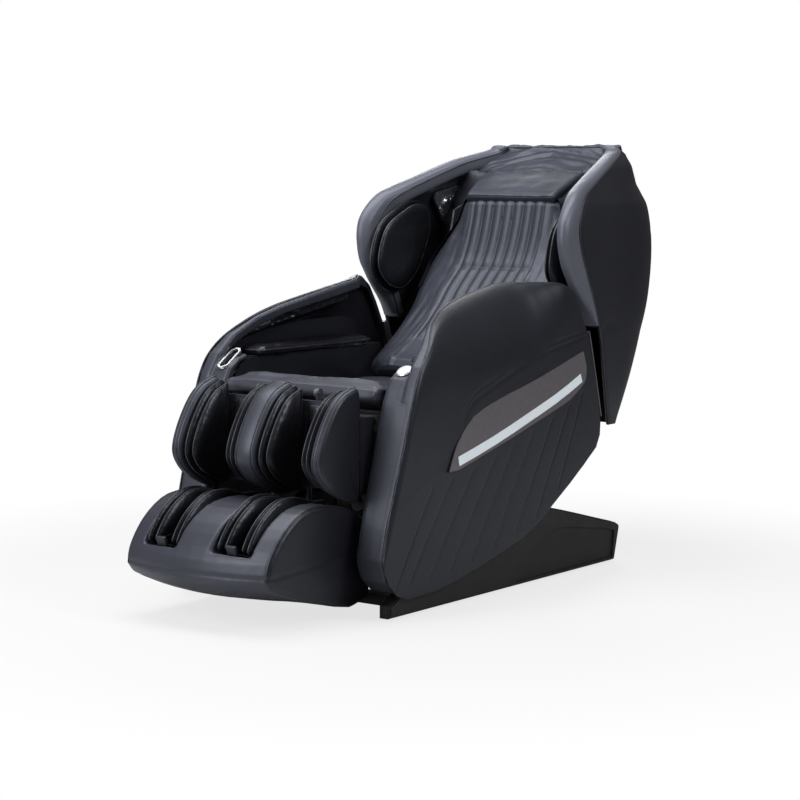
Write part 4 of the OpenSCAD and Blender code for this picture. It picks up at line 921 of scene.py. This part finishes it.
side_cover = add_piece("side_cover_left", *panel_piece(), "dark_leather", "seat",
                       ["arm_panel_left"])
cut_bed(side_cover)
dress(side_cover, "dark_leather", "seat", sharp=40)
twin(side_cover, "side_cover_right", "arm_panel_right", sharp=40)
print("side covers:", len(side_cover.data.vertices), "points each")

# %% [markdown]
# ### Seams of the side panel
# One row of thread follows every channel and each crease, a rolled edge runs round the insert's
# bed, and piping follows the cover's rim.

# %% Sew the side panel
def sew_panel(s):
    cover = surface_of(side_cover)
    for line in (*QUILTS, CREASE, UPPER_CREASE):
        line = evenly([at(600, p[0], p[1]) for p in line], 0.01)
        sew(flipped(laid(cover, line, (-1, 0, 0), start=2.0), s), "seat")
    edge = HALF_W - 1.2
    pipe_round([at(s * edge, y, z) for y, z in insert_line(0.4)], "seat", THIN_PIPE)


def pipe_rim(s):
    rows = [r for r in curve_through(ARM_ROWS, 4) if r[0] < 452]
    pipe([at(s * (rim_x(r) - 0.4), r[0], r[1] - 1.0) for r in rows], "seat", FULL_PIPE)


twice(sew_panel)
twice(pipe_rim)
print("side seams sewn")

# %% [markdown]
# ## Arm bands
# The slate band covers the front of each arm and climbs along the crest as a thin welt. It is foam
# under leather, so it gets a remeshed, softened skin, two stitch rows on the nose, and piping on
# its inner edge.

# %% Make the arm bands
def band_shape(co, no):
    """Slow unevenness of foam under leather."""
    return co + no * wrinkled(co, 9.0, 0.0012, seed=3.1)[:, None]


bands = [stuffed("nose_band_" + side, "arm_band_" + side, "slate_leather", voxel=0.004,
                 rounds=4, draw=0.0004, shape=band_shape) for side in ("left", "right")]

NOSE = [(-436, 70), (-474, 104), (-492, 160), (-472, 243), (-443, 340), (-412, 445), (-397, 500),
        (-381, 550), (-363, 590), (-346, 618), (-315, 639)]
INTO_NOSE = (0, 1, -0.45)


def sew_band(s):
    nose = surface_of(bands[0 if s > 0 else 1])
    line = flat_curve(NOSE, 6)
    for inset in (9, 15):
        xs = [float(face_x(p[1])) - 11 - inset if p[1] < 560 else 333 - inset for p in line]
        start = [at(s * x, p[0] - 60, p[1] + 30) for x, p in zip(xs, line)]
        sew(laid(nose, evenly(start, 0.012), INTO_NOSE), "seat")
    inner = evenly([at(s * 277.5, p[0], p[1]) for p in line], 0.012)
    pipe(laid(nose, inner, INTO_NOSE, start=0.1, lift=0.0008), "seat", FLAT_PIPE)


twice(sew_band)

# %% [markdown]
# ## Forearm pads
# Each armrest holds a hand between two air bags: one flat on the deck and one hanging under the
# curl. Both are loose leather bags that swell in the cloth simulation, the lower one piped, and
# the right-hand ones are mirror images of the left-hand ones.

# %% Make the forearm pads
def loose(co, no):
    folds = wrinkled(co, 16.0, 0.0022, seed=1.7) + wrinkled(co, 45.0, 0.0009, seed=5.2)
    return co + no * folds[:, None]


def forearm(name, node):
    left = stuffed(name + "_left", node + "_left", "pad_leather", voxel=0.006, rounds=6,
                   draw=0.004, cap=0.006, shape=loose)
    twin(left, name + "_right", node + "_right")
    return left


deck_pad = forearm("deck_bag", "forearm_pad")
forearm("hand_flap", "forearm_flap")


def waist(obj, steps=72):
    """A loop round a flat bag at half its height, for its piping."""
    co = points_of(obj.data)
    low, high = co.min(0), co.max(0)
    size = high - low
    mid = Vector(((low[0] + high[0]) / 2, (low[1] + high[1]) / 2, low[2] + size[2] * 0.5))
    tree = surface_of(obj)
    loop = []
    for t in np.linspace(0, 2 * math.pi, steps, endpoint=False):
        way = Vector((math.cos(t) * size[0], math.sin(t) * size[1], 0))
        hit, normal, _, _ = tree.ray_cast(mid + way, -way.normalized())
        if hit is not None:
            loop.append(hit + normal * 0.0004)
    return loop


for s in (1, -1):
    pipe_round(flipped(waist(deck_pad), s), "seat", FULL_PIPE)
print("forearm bags made")

# %% [markdown]
# ## Hood
# The hood is a leather-covered shell that turns through a full corner to the rear and closes
# towards the crown. Like the side panels it is lofted through fine sections, stacked upwards, and
# a slanting seam crosses each cheek.

# %% Loft the hood
HOOD_HALF, CORNER_TURN, CORNER_POWER = 390.0, 300, 0.38
HOOD_ROWS = [(412, 28, 595, 654), (486, 14, 561, 708), (566, 6, 535, 763), (666, 1, 509, 820),
             (756, 0, 480, 860), (846, 0, 438, 880), (926, 1, 402, 887), (990, 5, 396, 885),
             (1048, 16, 427, 882), (1080, 34, 474, 880), (1110, 53, 548, 878), (1140, 72, 629, 875),
             (1170, 95, 716, 870), (1200, 138, 828, 862), (1222, 162, 846, 858)]


def hood_half_line(row, steps=48):
    z, inset, front, rear = row
    w = HOOD_HALF - inset
    turn = min(max(rear - CORNER_TURN, front + 24), rear - 9)
    a = np.radians(np.linspace(0, 90, steps))
    x = w * np.maximum(np.cos(a), 0) ** CORNER_POWER
    y = turn + (rear - turn) * np.sin(a) ** CORNER_POWER
    lead = np.linspace(front + 8, turn, 14)[:-1]
    return np.r_[w - 4, np.full(len(lead), w), x], np.r_[front, lead, y]


CHEEK_SEAM = flat_curve([(880, 1010), (800, 960), (690, 862), (596, 768), (520, 690)], 6)


def hood_piece():
    rings = []
    for row in curve_through(HOOD_ROWS, 7):
        x, y = hood_half_line(row)
        z = np.full_like(x, row[0])
        x = x - valley(line_distance(y, z, CHEEK_SEAM), 5.0, 1.6) * (x > 300)
        line = np.stack([np.r_[x, -x[-2::-1]], np.r_[y, y[-2::-1]]], 1)
        ring = np.vstack([line, (line + across(line) * WALL)[::-1]])
        rings.append(np.c_[ring, np.full(len(ring), row[0])])
    points, faces = drawn_skin(rings, capped=False)
    n, m = len(rings[0]), len(rings)
    for base in (0, (m - 1) * n):
        caps = [(base + i, base + i + 1, base + n - 2 - i, base + n - 1 - i)
                for i in range(n // 2 - 1)]
        faces += caps if base else [tuple(reversed(c)) for c in caps]
    return points, outward(points, faces)


hood = add_piece("hood_cover", *hood_piece(), "dark_leather", "backrest", ["back_shell"], sharp=50)
print("hood:", len(hood.data.vertices), "points")

# %% Sew the hood
def sew_hood(s):
    cover = surface_of(hood)
    def put(line, inset=0, lift=0.0004):
        line = [at(600, p[0] + inset, p[1]) for p in evenly(line, 10)]
        return flipped(laid(cover, line, (-1, 0, 0), lift, start=2.0), s)
    front = flat_curve([(r[2], r[0]) for r in HOOD_ROWS[:13]], 5)
    sew(put(CHEEK_SEAM), "backrest")
    for inset in (9, 15):
        sew(put(front, inset), "backrest")
    pipe(put(front, 3, 0.0006), "backrest", SEAM_PIPE)


twice(sew_hood)

# %% [markdown]
# ## Wings
# A slate roll of foam runs along the hood's front edge from the armrest to the crown, fullest
# beside the shoulders. Each of its sections stands square to the edge. Behind it a smooth wall
# lines the hood's cheek and carries the shoulder pads and the speaker.

# %% Make the roll and the wall
ROLL_LEVELS = (704, 760, 805, 850, 900, 960, 990, 1048, 1080, 1110, 1140, 1170, 1200, 1222)
ROLL_REACH = (6, 22, 40, 54, 64, 62, 58, 36, 26, 22, 20, 18, 16, 12)
ROLL_SECTION = [(-2, -3, 0), (-1.2, 0, 0.25), (-4, 0, 0.6), (-12, 0, 0.9), (-24, 0, 1),
                (-38, 0, 0.93), (-50, 0, 0.7), (-56, 0, 0.35), (-58, -5, 0), (-56, -25, 0),
                (-44, -32, 0), (-14, -32, 0), (-8, -10, 0)]
WINGS = ("wing_left", "wing_right")
WALL_DEPTH, WALL_CLEAR = 330, 130


def hood_row(z):
    """Half width, front edge and rear of the hood at a height."""
    levels, *sizes = zip(*HOOD_ROWS)
    inset, front, rear = (float(np.interp(z, levels, size)) for size in sizes)
    return HOOD_HALF - inset, front, rear


def wall_rear(front, rear):
    """Where the wall ends behind the hood's front edge, clear of its rear."""
    return min(front + WALL_DEPTH, rear - WALL_CLEAR)


def roll_reach(z):
    return float(np.interp(z, ROLL_LEVELS, ROLL_REACH))


def roll_stations():
    """Along the edge: place (y, z), half width, and the direction out of the edge."""
    edge = [(front, z, HOOD_HALF - inset) for z, inset, front, _ in HOOD_ROWS[3:]]
    path = curve_through(edge, 10)
    out = across(np.array([[p[0], p[1]] for p in path]))
    return [(*p, *way) for p, way in zip(path, out) if p[1] >= ROLL_LEVELS[0]]


def roll_piece():
    rings = []
    loop = curve_through(ROLL_SECTION + ROLL_SECTION[:1], 4)[:-1]
    for y, z, w, ny, nz in roll_stations():
        ring = []
        for dx, flat, share in loop:
            n = flat + share * roll_reach(z)
            n += 1.2 * share * noise_at(dx / 30, z / 45, 3.0)
            ring.append((w + dx, y + ny * n, z + nz * n))
        rings.append(ring)
    return drawn_skin(rings)


def wall_piece():
    rings = []
    for z in np.linspace(704, 1165, 48):
        w, front, rear = hood_row(z)
        back = wall_rear(front, rear)
        middle = (front + back) / 2
        line = [(w - 8, front + 2), (w - 8, middle), (w - 8, back - 10), (w - 18, back),
                (w - 48, back), (w - 56, back - 16), (w - 56, middle), (w - 56, front + 2)]
        rings.append([(x, y, z) for x, y in line])
    return drawn_skin(rings)


rolls = both_sides("edge_roll", *roll_piece(), "roll_leather", "backrest", WINGS, sharp=80)
both_sides("cheek_wall", *wall_piece(), "wall_leather", "backrest", WINGS, sharp=50)
print("wings made")

# %% Sew the wings
def sew_wing(s):
    stations = roll_stations()
    def row(dx, share, lift=0.0):
        line = []
        for y, z, w, ny, nz in stations:
            n = share * roll_reach(z) + lift
            line.append(at(s * (w + dx), y + ny * n, z + nz * n))
        return line
    pipe(row(-0.8, 0, -1.0), "backrest", FULL_PIPE)
    pipe(row(-57.5, 0.2), "backrest", SEAM_PIPE)
    sew(row(-6.6, 0.72, 0.6), "backrest")
    sew(row(-53.2, 0.56, 0.6), "backrest")


twice(sew_wing)

# %% [markdown]
# ## Back pad
# The sitter leans on two rows of upright quilted channels between plain leather cheeks. Each
# channel is a small bolster: high in its middle, pinched at the seams, and drawn in where the rows
# meet. The cheeks lie loose and carry long folds that run in from the shoulders.

# %% Shape the back pad
BACK_ROWS = [(182, 606, 196), (200, 616, 226), (240, 634, 244), (298, 668, 250), (360, 712, 250),
             (415, 762, 252), (462, 812, 258), (502, 848, 266), (526, 872, 270), (548, 905, 262),
             (568, 950, 236), (584, 1000, 206), (594, 1040, 193), (598, 1064, 186)]
QUILT_HALF, CHANNELS, PAD_T = 126.0, 7, 48.0
ROW_SEAMS = (300.0, 522.0)
BOLSTER, FOLDS, LONG_FOLDS = 7.0, 1.8, 3.0


def back_piece():
    rows = curve_through(BACK_ROWS, 9)
    yz = np.array([[r[0], r[1]] for r in rows])
    run = run_along(yz)
    deep = -across(yz)
    seams = [np.interp(v, yz[:, 0], run) for v in ROW_SEAMS]
    u = np.linspace(-1, 1, 157)
    shoulder = np.clip((1 - np.abs(u)) / 0.16, 0, 1) ** 0.5
    rings = []
    for (_, _, w), along, place, inwards in zip(rows, run, yz, deep):
        x = u * w
        off = np.abs(x) - QUILT_HALF
        edge = np.clip(off / 14, 0, 1)
        channel = np.abs(np.sin(math.pi * (x / QUILT_HALF + 1) / 2 * CHANNELS)) ** 0.62
        pinch = min(1.0, min(abs(along - s) for s in seams) / 16) ** 0.5
        bolster = (1 - edge) * (along >= seams[0] - 1) * channel * pinch * BOLSTER
        side = 6 + 12 * np.clip(off / (w - QUILT_HALF - 8), 0, 1) ** 1.5
        depth = side * edge + 9 * (1 - edge) - bolster + 30 * (1 - shoulder)
        fold = np.array([noise_at(k / 60 + 3.3, along / 34, 2.0) for k in x])
        long_fold = np.array([noise_at(k / 22, along / 120 + abs(k) / 90, 7.0) for k in x])
        depth -= edge * (FOLDS * fold + LONG_FOLDS * long_fold) * shoulder
        depth += 12 * (1 - min(1.0, along / 22)) + 8 * (1 - min(1.0, (run[-1] - along) / 14))
        rear = [(w - 4, PAD_T - 8), (w - 14, PAD_T), (0, PAD_T), (14 - w, PAD_T),
                (4 - w, PAD_T - 8)]
        rings.append([[a, *(place + inwards * d)] for a, d in [*zip(x, depth), *rear]])
    return drawn_skin(rings)


back_pad = add_piece("quilted_back", *back_piece(), "back_leather", "backrest", ["back_pad"],
                     sharp=80)
print("back pad:", len(back_pad.data.vertices), "points")

# %% Sew the back pad
INTO_BACK = (0, 1, -0.8)


def sew_back():
    tree = surface_of(back_pad)
    rows = curve_through(BACK_ROWS, 9)
    quilt = [r for r in rows if r[0] > ROW_SEAMS[0]]
    for k in range(CHANNELS + 1):
        x = QUILT_HALF * (2 * k / CHANNELS - 1)
        for off in (-3.0, 3.0) if 0 < k < CHANNELS else (0.0,):
            line = [at(x + off, r[0] - 60, r[1] + 50) for r in quilt]
            sew(laid(tree, evenly(line, 0.012), INTO_BACK), "backrest")
    for seam in ROW_SEAMS:
        r = min(rows, key=lambda q: abs(q[0] - seam))
        for off in (-4, 4):
            y, z = r[0] - 60 + off * 0.6, r[1] + 50 + off * 0.8
            line = [at(x, y, z) for x in range(-126, 127, 6)]
            sew(laid(tree, line, INTO_BACK), "backrest")


sew_back()

# %% [markdown]
# ## Lining, head pillow and crown
# Dark leather closes the hood beside the narrow top of the back pad. The pillow is a smooth padded
# band that carries on the line of the back. Above it the crown's cover is gathered, with folds that
# run from the middle to a pocket in each corner.

# %% Make the pillow and the crown
PILLOW = [(598, 1066, 160), (606, 1078, 162), (625, 1092, 165), (655, 1108, 170), (690, 1124, 175),
          (722, 1138, 179), (747, 1150, 182)]
CROWN = [(700, 1112, 176), (747, 1143, 236), (776, 1163, 236), (812, 1186, 225), (838, 1202, 228),
         (852, 1218, 230), (862, 1228, 232), (872, 1222, 232), (869, 1200, 232)]


def band(rows, height, thick, round_x, round_run, per_span=8):
    """A padded band over rows of (y, z, half width). `height(x, run)` raises its face."""
    line = curve_through(rows, per_span)
    yz = np.array([[p[0], p[1]] for p in line])
    run, out = run_along(yz), across(yz)
    u = np.linspace(-1, 1, 97)
    rings = []
    for (_, _, w), along, place, outwards in zip(line, run, yz, out):
        from_end = min(along, run[-1] - along)
        soft = min(1.0, from_end / round_run) if round_run else 1.0
        side = np.clip(w * (1 - np.abs(u)) / round_x, 0, 1)
        rise = np.sqrt(1 - (1 - side) ** 2) * math.sqrt(max(0.0, 1 - (1 - soft) ** 2))
        folds = np.array([height(x, along) for x in u * w])
        up = (rise - 1) * min(round_x, thick * 0.6) + rise * folds
        rear = [(w - 6, -thick), (0, -thick), (6 - w, -thick)]
        rings.append([[x, *(place + outwards * h)] for x, h in [*zip(u * w, up), *rear]])
    return drawn_skin(rings)


def pillow_height(x, run):
    return 3 + 2.2 * noise_at(x / 70, run / 40, 6.0)


def crown_height(x, run):
    """Folds that fan out from the middle, and a pocket in each corner."""
    fan = noise_at(x / 85 + 2, run / 20 + abs(x) / 60, 4.0)
    fine = noise_at(x / 34, run / 11 + abs(x) / 26, 8.0)
    pocket = math.exp(-((abs(x) - 200) / 20) ** 2 - ((run - 52) / 20) ** 2)
    return 5.5 * fan + 1.6 * fine - 18 * pocket


pillow = add_piece("head_cushion", *band(PILLOW, pillow_height, 26, 16, 14), "back_leather",
                   "backrest", ["head_pillow"], sharp=80)
crown = add_piece("gathered_crown", *band(CROWN, crown_height, 20, 10, 0, 10), "back_leather",
                  "backrest", ["hood_lining"], sharp=80)
print("pillow:", len(pillow.data.vertices), "points; crown:", len(crown.data.vertices), "points")

# %% Make the side linings
def lining_piece(thick=3.0):
    """From behind the back pad's edge to the rear of the wall, on the sitter's left."""
    rings = []
    pad_y, pad_z, pad_w = zip(*(BACK_ROWS + PILLOW[1:]))
    u = np.linspace(0, 1, 16)
    for z in np.linspace(800, 1150, 36):
        w, front, rear = hood_row(z)
        start = (float(np.interp(z, pad_z, pad_w)) - 15, float(np.interp(z, pad_z, pad_y)) + 18)
        end = (w - 57, wall_rear(front, rear) - 20)
        x = start[0] + (end[0] - start[0]) * u
        y = start[1] + (end[1] - start[1]) * u ** 0.62
        y += [3 * noise_at(k / 26, z / 60, 5.0) for k in x]
        line = list(zip(x, y)) + [(k, j + thick) for k, j in zip(x[::-1], y[::-1])]
        rings.append([(k, j, z) for k, j in line])
    return drawn_skin(rings)


both_sides("side_lining", *lining_piece(), "dark_leather", "backrest", sharp=60)
print("side linings made")

# %% Sew the pillow and the crown
def sew_head():
    tree = surface_of(pillow, crown)
    def row(y, z, w):
        line = [at(x, y - 40, z + 90) for x in range(-w, w + 1, 6)]
        return laid(tree, line, (0, 0.4, -0.9))
    for place in ((603, 1074, 150), (741, 1148, 172)):
        pipe(row(*place), "backrest", SEAM_PIPE)
    for place in ((618, 1088, 158), (736, 1146, 174)):
        sew(row(*place), "backrest")


sew_head()

# %% [markdown]
# ## Air pads
# An air pad is two leather discs welded at the rim: full in the middle, flat at the edge, with
# short gathers where the cover runs into the piped seam. Rings that shrink towards the middle
# follow any outline, and the gathers fade away from the rim.

# %% Build an air bag
BAG_RINGS = 22


def air_bag(outline, middle, x_mid, half, gathers, height=0.0012, seed=0.0):
    """A bag in the plane x = x_mid: outline in metres, `half` its half thickness."""
    centre = np.array(middle, float)
    theta = np.linspace(0, 2 * math.pi, len(outline), endpoint=False)
    shares = [1 - (k / BAG_RINGS) ** 1.25 for k in range(BAG_RINGS)]
    shells = []
    for way, some in ((1, shares), (-1, shares[:0:-1])):
        for s in some:
            full = (1 - s ** 3.4) ** 0.55
            crimp = np.sin(theta * gathers + 2.2 * np.sin(theta * 3 + seed)) * s ** 9
            body = np.array([noise_at(math.cos(t) * s * 2.2, math.sin(t) * s * 2.2, seed)
                             for t in theta])
            folds = crimp * (1 - s ** 30) + 1.4 * body * full
            x = x_mid + way * (half * full + height * folds)
            shells.append(np.c_[x, centre + (outline - centre) * s])
    return skin(shells[BAG_RINGS:] + shells[:BAG_RINGS])


def closed_line(points, per_span, drop):
    """A closed curve through [y, z] drawing points, drawn in by `drop` millimetres, in metres."""
    p = [Vector((y, z, 0)) for y, z in points]
    fours = list(zip(p[-1:] + p[:-1], p, p[1:] + p[:1], p[2:] + p[:2]))
    ring = np.array([between(*four, k / per_span)[:2] for four in fours for k in range(per_span)])
    y, z = ring.T
    area = 0.5 * np.sum(y * np.roll(z, -1) - np.roll(y, -1) * z)
    ring += across(ring, closed=True) * drop * (1 if area > 0 else -1)
    return (ring - [MID_Y, 0]) / 1000


print("air bag maker ready")

# %% Shoulder pads
SHOULDER = [(350, 850), (345, 905), (378, 985), (445, 1030), (510, 1055), (566, 1046), (604, 1006),
            (606, 955), (572, 878), (530, 825), (465, 790), (395, 806)]
SHOULDER_MIDDLE = ((470 - MID_Y) / 1000, 0.92)
WING_FACE = 56.4


def shoulder_layers():
    """Two stacked bags, the upper one smaller: x follows the wing's inner face."""
    def face_at(z, depth):
        return (hood_row(z * 1000)[0] - WING_FACE - depth) / 1000
    bags = []
    for k, (drop, depth, half) in enumerate(((-4, 12, 12), (8, 34, 13))):
        ring = closed_line(SHOULDER, 6, drop)
        p, f = air_bag(ring, SHOULDER_MIDDLE, 0.0, half / 1000, 30, seed=2.0 + k)
        p[:, 0] += [face_at(z, depth) for z in p[:, 2]]
        bags.append((p, f))
        for s in (1, -1):
            seam = [Vector((s * face_at(z, depth), y, z)) for y, z in ring]
            pipe_round(seam, "backrest", WIDE_PIPE)
    return joined(bags)


pads = both_sides("shoulder_bag", *shoulder_layers(), "pad_leather", "backrest",
                  ("shoulder_pad_left", "shoulder_pad_right"), sharp=80)
print("shoulder pads made")

# %% [markdown]
# ## Seat cushion
# One padded seat whose nose rolls down in front in slate leather. It swells in the simulation,
# held where it rests on the tray, and a seam crosses it behind the nose.

# %% Make the seat cushion
def seat_free(co):
    """Free on top, held underneath and beside the arms."""
    bed = np.interp(co[:, 1], [-0.4, -0.2, 0.2], [0.56, 0.51, 0.5])
    top = np.clip((co[:, 2] - bed) / 0.04, 0, 1)
    return top * np.clip((0.272 - np.abs(co[:, 0])) / 0.03, 0.15, 1)


def seat_shape(co, no):
    press = valley(np.abs(co[:, 1] * 1000 + 300), 5.0, 0.0022) * (co[:, 2] > 0.56)
    soft = wrinkled(co, 10.0, 0.0022, seed=6.6) + wrinkled(co, 34.0, 0.0007, seed=2.2)
    return co + no * (soft * seat_free(co) - press)[:, None]


seat = stuffed("seat_pillow", "seat_cushion", "slate_leather", voxel=0.007, rounds=8, draw=0.003,
               cap=0.009, free=seat_free, shape=seat_shape)
seat_tree = surface_of(seat)
for off in (-4, 4):
    line = [at(x, -274 + off, 900) for x in range(-255, 256, 8)]
    sew(laid(seat_tree, line, (0, 0, -1), start=2.0), "seat")

# %% [markdown]
# ## Calf unit
# Three padded humps stand on the calf plate with an air bag on every inner face, so each leg
# lies between two bags. The humps are slate leather, piped where they turn to their sides, and
# the outermost faces are dark. A flap behind each outer hump closes the gap beside the unit.

# %% Make the calf walls
LEG_HALF, CALF_T = 258.0, 36.0
CALF_SIDE = [(-444, 588), (-492, 592), (-540, 562), (-585, 500), (-612, 438), (-610, 395),
             (-575, 352), (-520, 322), (-470, 306), (-446, 324), (-441, 440)]
BOX_FACES = [(0, 1, 3, 2), (4, 6, 7, 5), (0, 4, 5, 1), (2, 3, 7, 6), (0, 2, 6, 4), (1, 5, 7, 3)]


def box(xs, ys, zs):
    """A box between places on the drawing."""
    corners = [(x / 1000, (y - MID_Y) / 1000, z / 1000) for x in xs for y in ys for z in zs]
    return corners, outward(corners, BOX_FACES)


def hump(x0, x1, rounding=13.0, steps=7):
    """A padded wall between x0 and x1, whose edges are rounded like foam under leather."""
    mid, half = (x0 + x1) / 2, (x1 - x0) / 2
    angles = np.linspace(0, math.pi / 2, steps)[::-1]
    edge = [(-half + rounding * (1 - math.sin(a)), rounding * (1 - math.cos(a))) for a in angles]
    flat = np.linspace(-half + rounding, half - rounding, 7)[1:-1]
    top = [(v, -2.5 * (1 - (v / (half - rounding + 1)) ** 2)) for v in flat]
    rings = []
    for v, drop in edge + top + [(-v, d) for v, d in edge[::-1]]:
        line = closed_line(CALF_SIDE, 8, drop + 1.0)
        rings.append(np.c_[np.full(len(line), (mid + v) / 1000), line])
    rings = np.array(rings)
    hold = rings[:, :, 1] > (-446 - MID_Y) / 1000
    rings[:, :, 1] = np.where(hold, (-444 - MID_Y) / 1000, rings[:, :, 1])
    return skin(rings)


def open_seam(x, ring, y_end):
    """The part of a ring in front of y_end, from one of its ends to the other."""
    seam = [Vector((x, y, z)) for y, z in ring if y < (y_end - MID_Y) / 1000]
    gaps = [(a - b).length for a, b in zip(seam[1:] + seam[:1], seam)]
    start = int(np.argmax(gaps)) + 1
    return seam[start:] + seam[:start]


def calf_walls():
    """Three humps, a flap behind each outer one, and the plate they stand on."""
    parts = []
    for x0, x1 in ((-LEG_HALF, -LEG_HALF + CALF_T), (-CALF_T, CALF_T),
                   (LEG_HALF - CALF_T, LEG_HALF)):
        parts.append(hump(x0, x1))
        for x in (x0 + 12, x1 - 12):
            seam = open_seam(x / 1000, closed_line(CALF_SIDE, 8, 0.4), -452)
            pipe(seam, "calf_unit", FLAT_PIPE)
    parts += [box((s * 253, s * 257), (-446, -386), (320, 520)) for s in (1, -1)]
    parts.append(box((10 - LEG_HALF, LEG_HALF - 10), (-444, -436.4), (325, 556)))
    return joined(parts)


humps = add_piece("calf_humps", *calf_walls(), "slate_leather", "calf_unit", ["calf_walls"],
                  sharp=50)
humps.data.materials.append(finish["dark_leather"])
for face in humps.data.polygons:
    face.material_index = int(abs(face.center.x) > (LEG_HALF - 4) / 1000)
print("calf humps:", len(humps.data.vertices), "points")

# %% Make the calf air bags
CALF_MIDDLE = ((-524 - MID_Y) / 1000, 0.452)


def calf_bags():
    bags = []
    for wall, way in ((CALF_T, 1), (LEG_HALF - CALF_T, -1), (-CALF_T, -1), (-LEG_HALF + CALF_T, 1)):
        for k, (drop, depth, half) in enumerate(((9, 13, 13), (16, 33, 14))):
            ring = closed_line(CALF_SIDE, 8, drop)
            ring[:, 0] = np.minimum(ring[:, 0], (-445.5 - MID_Y) / 1000)
            x = (wall + way * (depth + 0.6)) / 1000
            bags.append(air_bag(ring, CALF_MIDDLE, x, half / 1000, 34, 0.0016, wall * 0.1 + k))
            pipe(open_seam(x, ring, -449), "calf_unit", FULL_PIPE)
    return joined(bags)


calf_pads = add_piece("calf_bags", *calf_bags(), "pad_leather", "calf_unit", ["calf_air_pads"],
                      sharp=80)
stuffed("calf_back_bags", "calf_back_pads", "pad_leather", voxel=0.005, rounds=8, draw=0.001,
        shape=loose)
print("calf bags:", len(calf_pads.data.vertices), "points")

# %% [markdown]
# ## Footrest
# The footrest is one moulded body under leather with two wells. Its foam edges are soft, a seam
# runs across the front below the wells, and the end caps are cut from the darker leather.

# %% Make the footrest
def foot_shape(co, no):
    press = valley(np.abs(co[:, 2] * 1000 - seam_height(co[:, 1] * 1000 + MID_Y)), 4.5, 0.0020)
    front = np.clip((-0.35 - co[:, 1]) / 0.1, 0, 1)
    return co + no * (wrinkled(co, 9.0, 0.0012, seed=12.0) - press * front)[:, None]


def seam_height(y):
    """Height of the seam that runs round the footrest's front, over the drawing's y."""
    return np.interp(y, [-820, -700, -560, -420], [146, 152, 160, 168])


foot = stuffed("foot_body", "foot_shell", "slate_leather", voxel=0.005, rounds=6, draw=0.0,
               shape=foot_shape)
foot.data.materials.append(finish["dark_leather"])
caps = (np.abs(read(foot.data.polygons, "center")[:, 0]) > 0.238).astype(int)
foot.data.polygons.foreach_set("material_index", caps)
print("end cap faces:", int(caps.sum()))

# %% Sew the footrest
FOOT_EDGE = [(-800, 140), (-790, 184), (-748, 240), (-696, 282), (-640, 304), (-560, 306),
             (-474, 284), (-410, 254)]


def sew_foot():
    tree = surface_of(foot)
    for s in (1, -1):
        line = [at(s * 236.5, p[0] - 40, p[1] + 60) for p in flat_curve(FOOT_EDGE, 6)]
        pipe(laid(tree, evenly(line, 0.01), (0, 0.5, -0.75)), "footrest", FLAT_PIPE)
    for off in (-4, 4):
        line = [at(x, -950, 148 + off) for x in range(-230, 231, 8)]
        sew(laid(tree, line, (0, 1, 0)), "footrest")


sew_foot()

# %% Make the foot air bags
FOOT_PAD = [(-466, 286), (-540, 308), (-605, 326), (-672, 322), (-740, 282), (-786, 226),
            (-786, 202), (-720, 181), (-590, 143), (-478, 120)]
FOOT_MIDDLE = ((-628 - MID_Y) / 1000, 0.234)
WELL_MID, WELL_HALF = 120.0, 62.0


def foot_bags():
    bags = []
    for s in (1, -1):
        for edge, way in ((WELL_MID - WELL_HALF, 1), (WELL_MID + WELL_HALF, -1)):
            for k, (drop, depth, half) in enumerate(((2, 12, 12), (6, 33, 15))):
                ring = closed_line(FOOT_PAD, 8, drop)
                x = s * (edge + way * (depth + 0.6)) / 1000
                bags.append(air_bag(ring, FOOT_MIDDLE, x, half / 1000, 32, 0.0016, edge * 0.3 + k))
                pipe_round([Vector((x, y, z)) for y, z in ring], "footrest", FULL_PIPE)
    return joined(bags)


foot_pads = add_piece("foot_bags", *foot_bags(), "pad_leather", "footrest", ["foot_air_pads"],
                      sharp=80)
stuffed("toe_pads", "sole_pads", "sole_leather", voxel=0.0025, rounds=4, draw=0.0)
print("foot bags:", len(foot_pads.data.vertices), "points")

# %% [markdown]
# ## Hang the trim and finish
# All the piping and thread gathered on the way becomes one mesh for each body, so it moves with
# the leather it is sewn to.

# %% Make the piping and stitching objects
for (kind, body), parts in sorted(trim.items()):
    points, faces = joined(parts)
    piece = add_piece(kind + "_" + body, points, faces, "piping_leather", body, sharp=60)
    print(piece.name, len(points), "points")
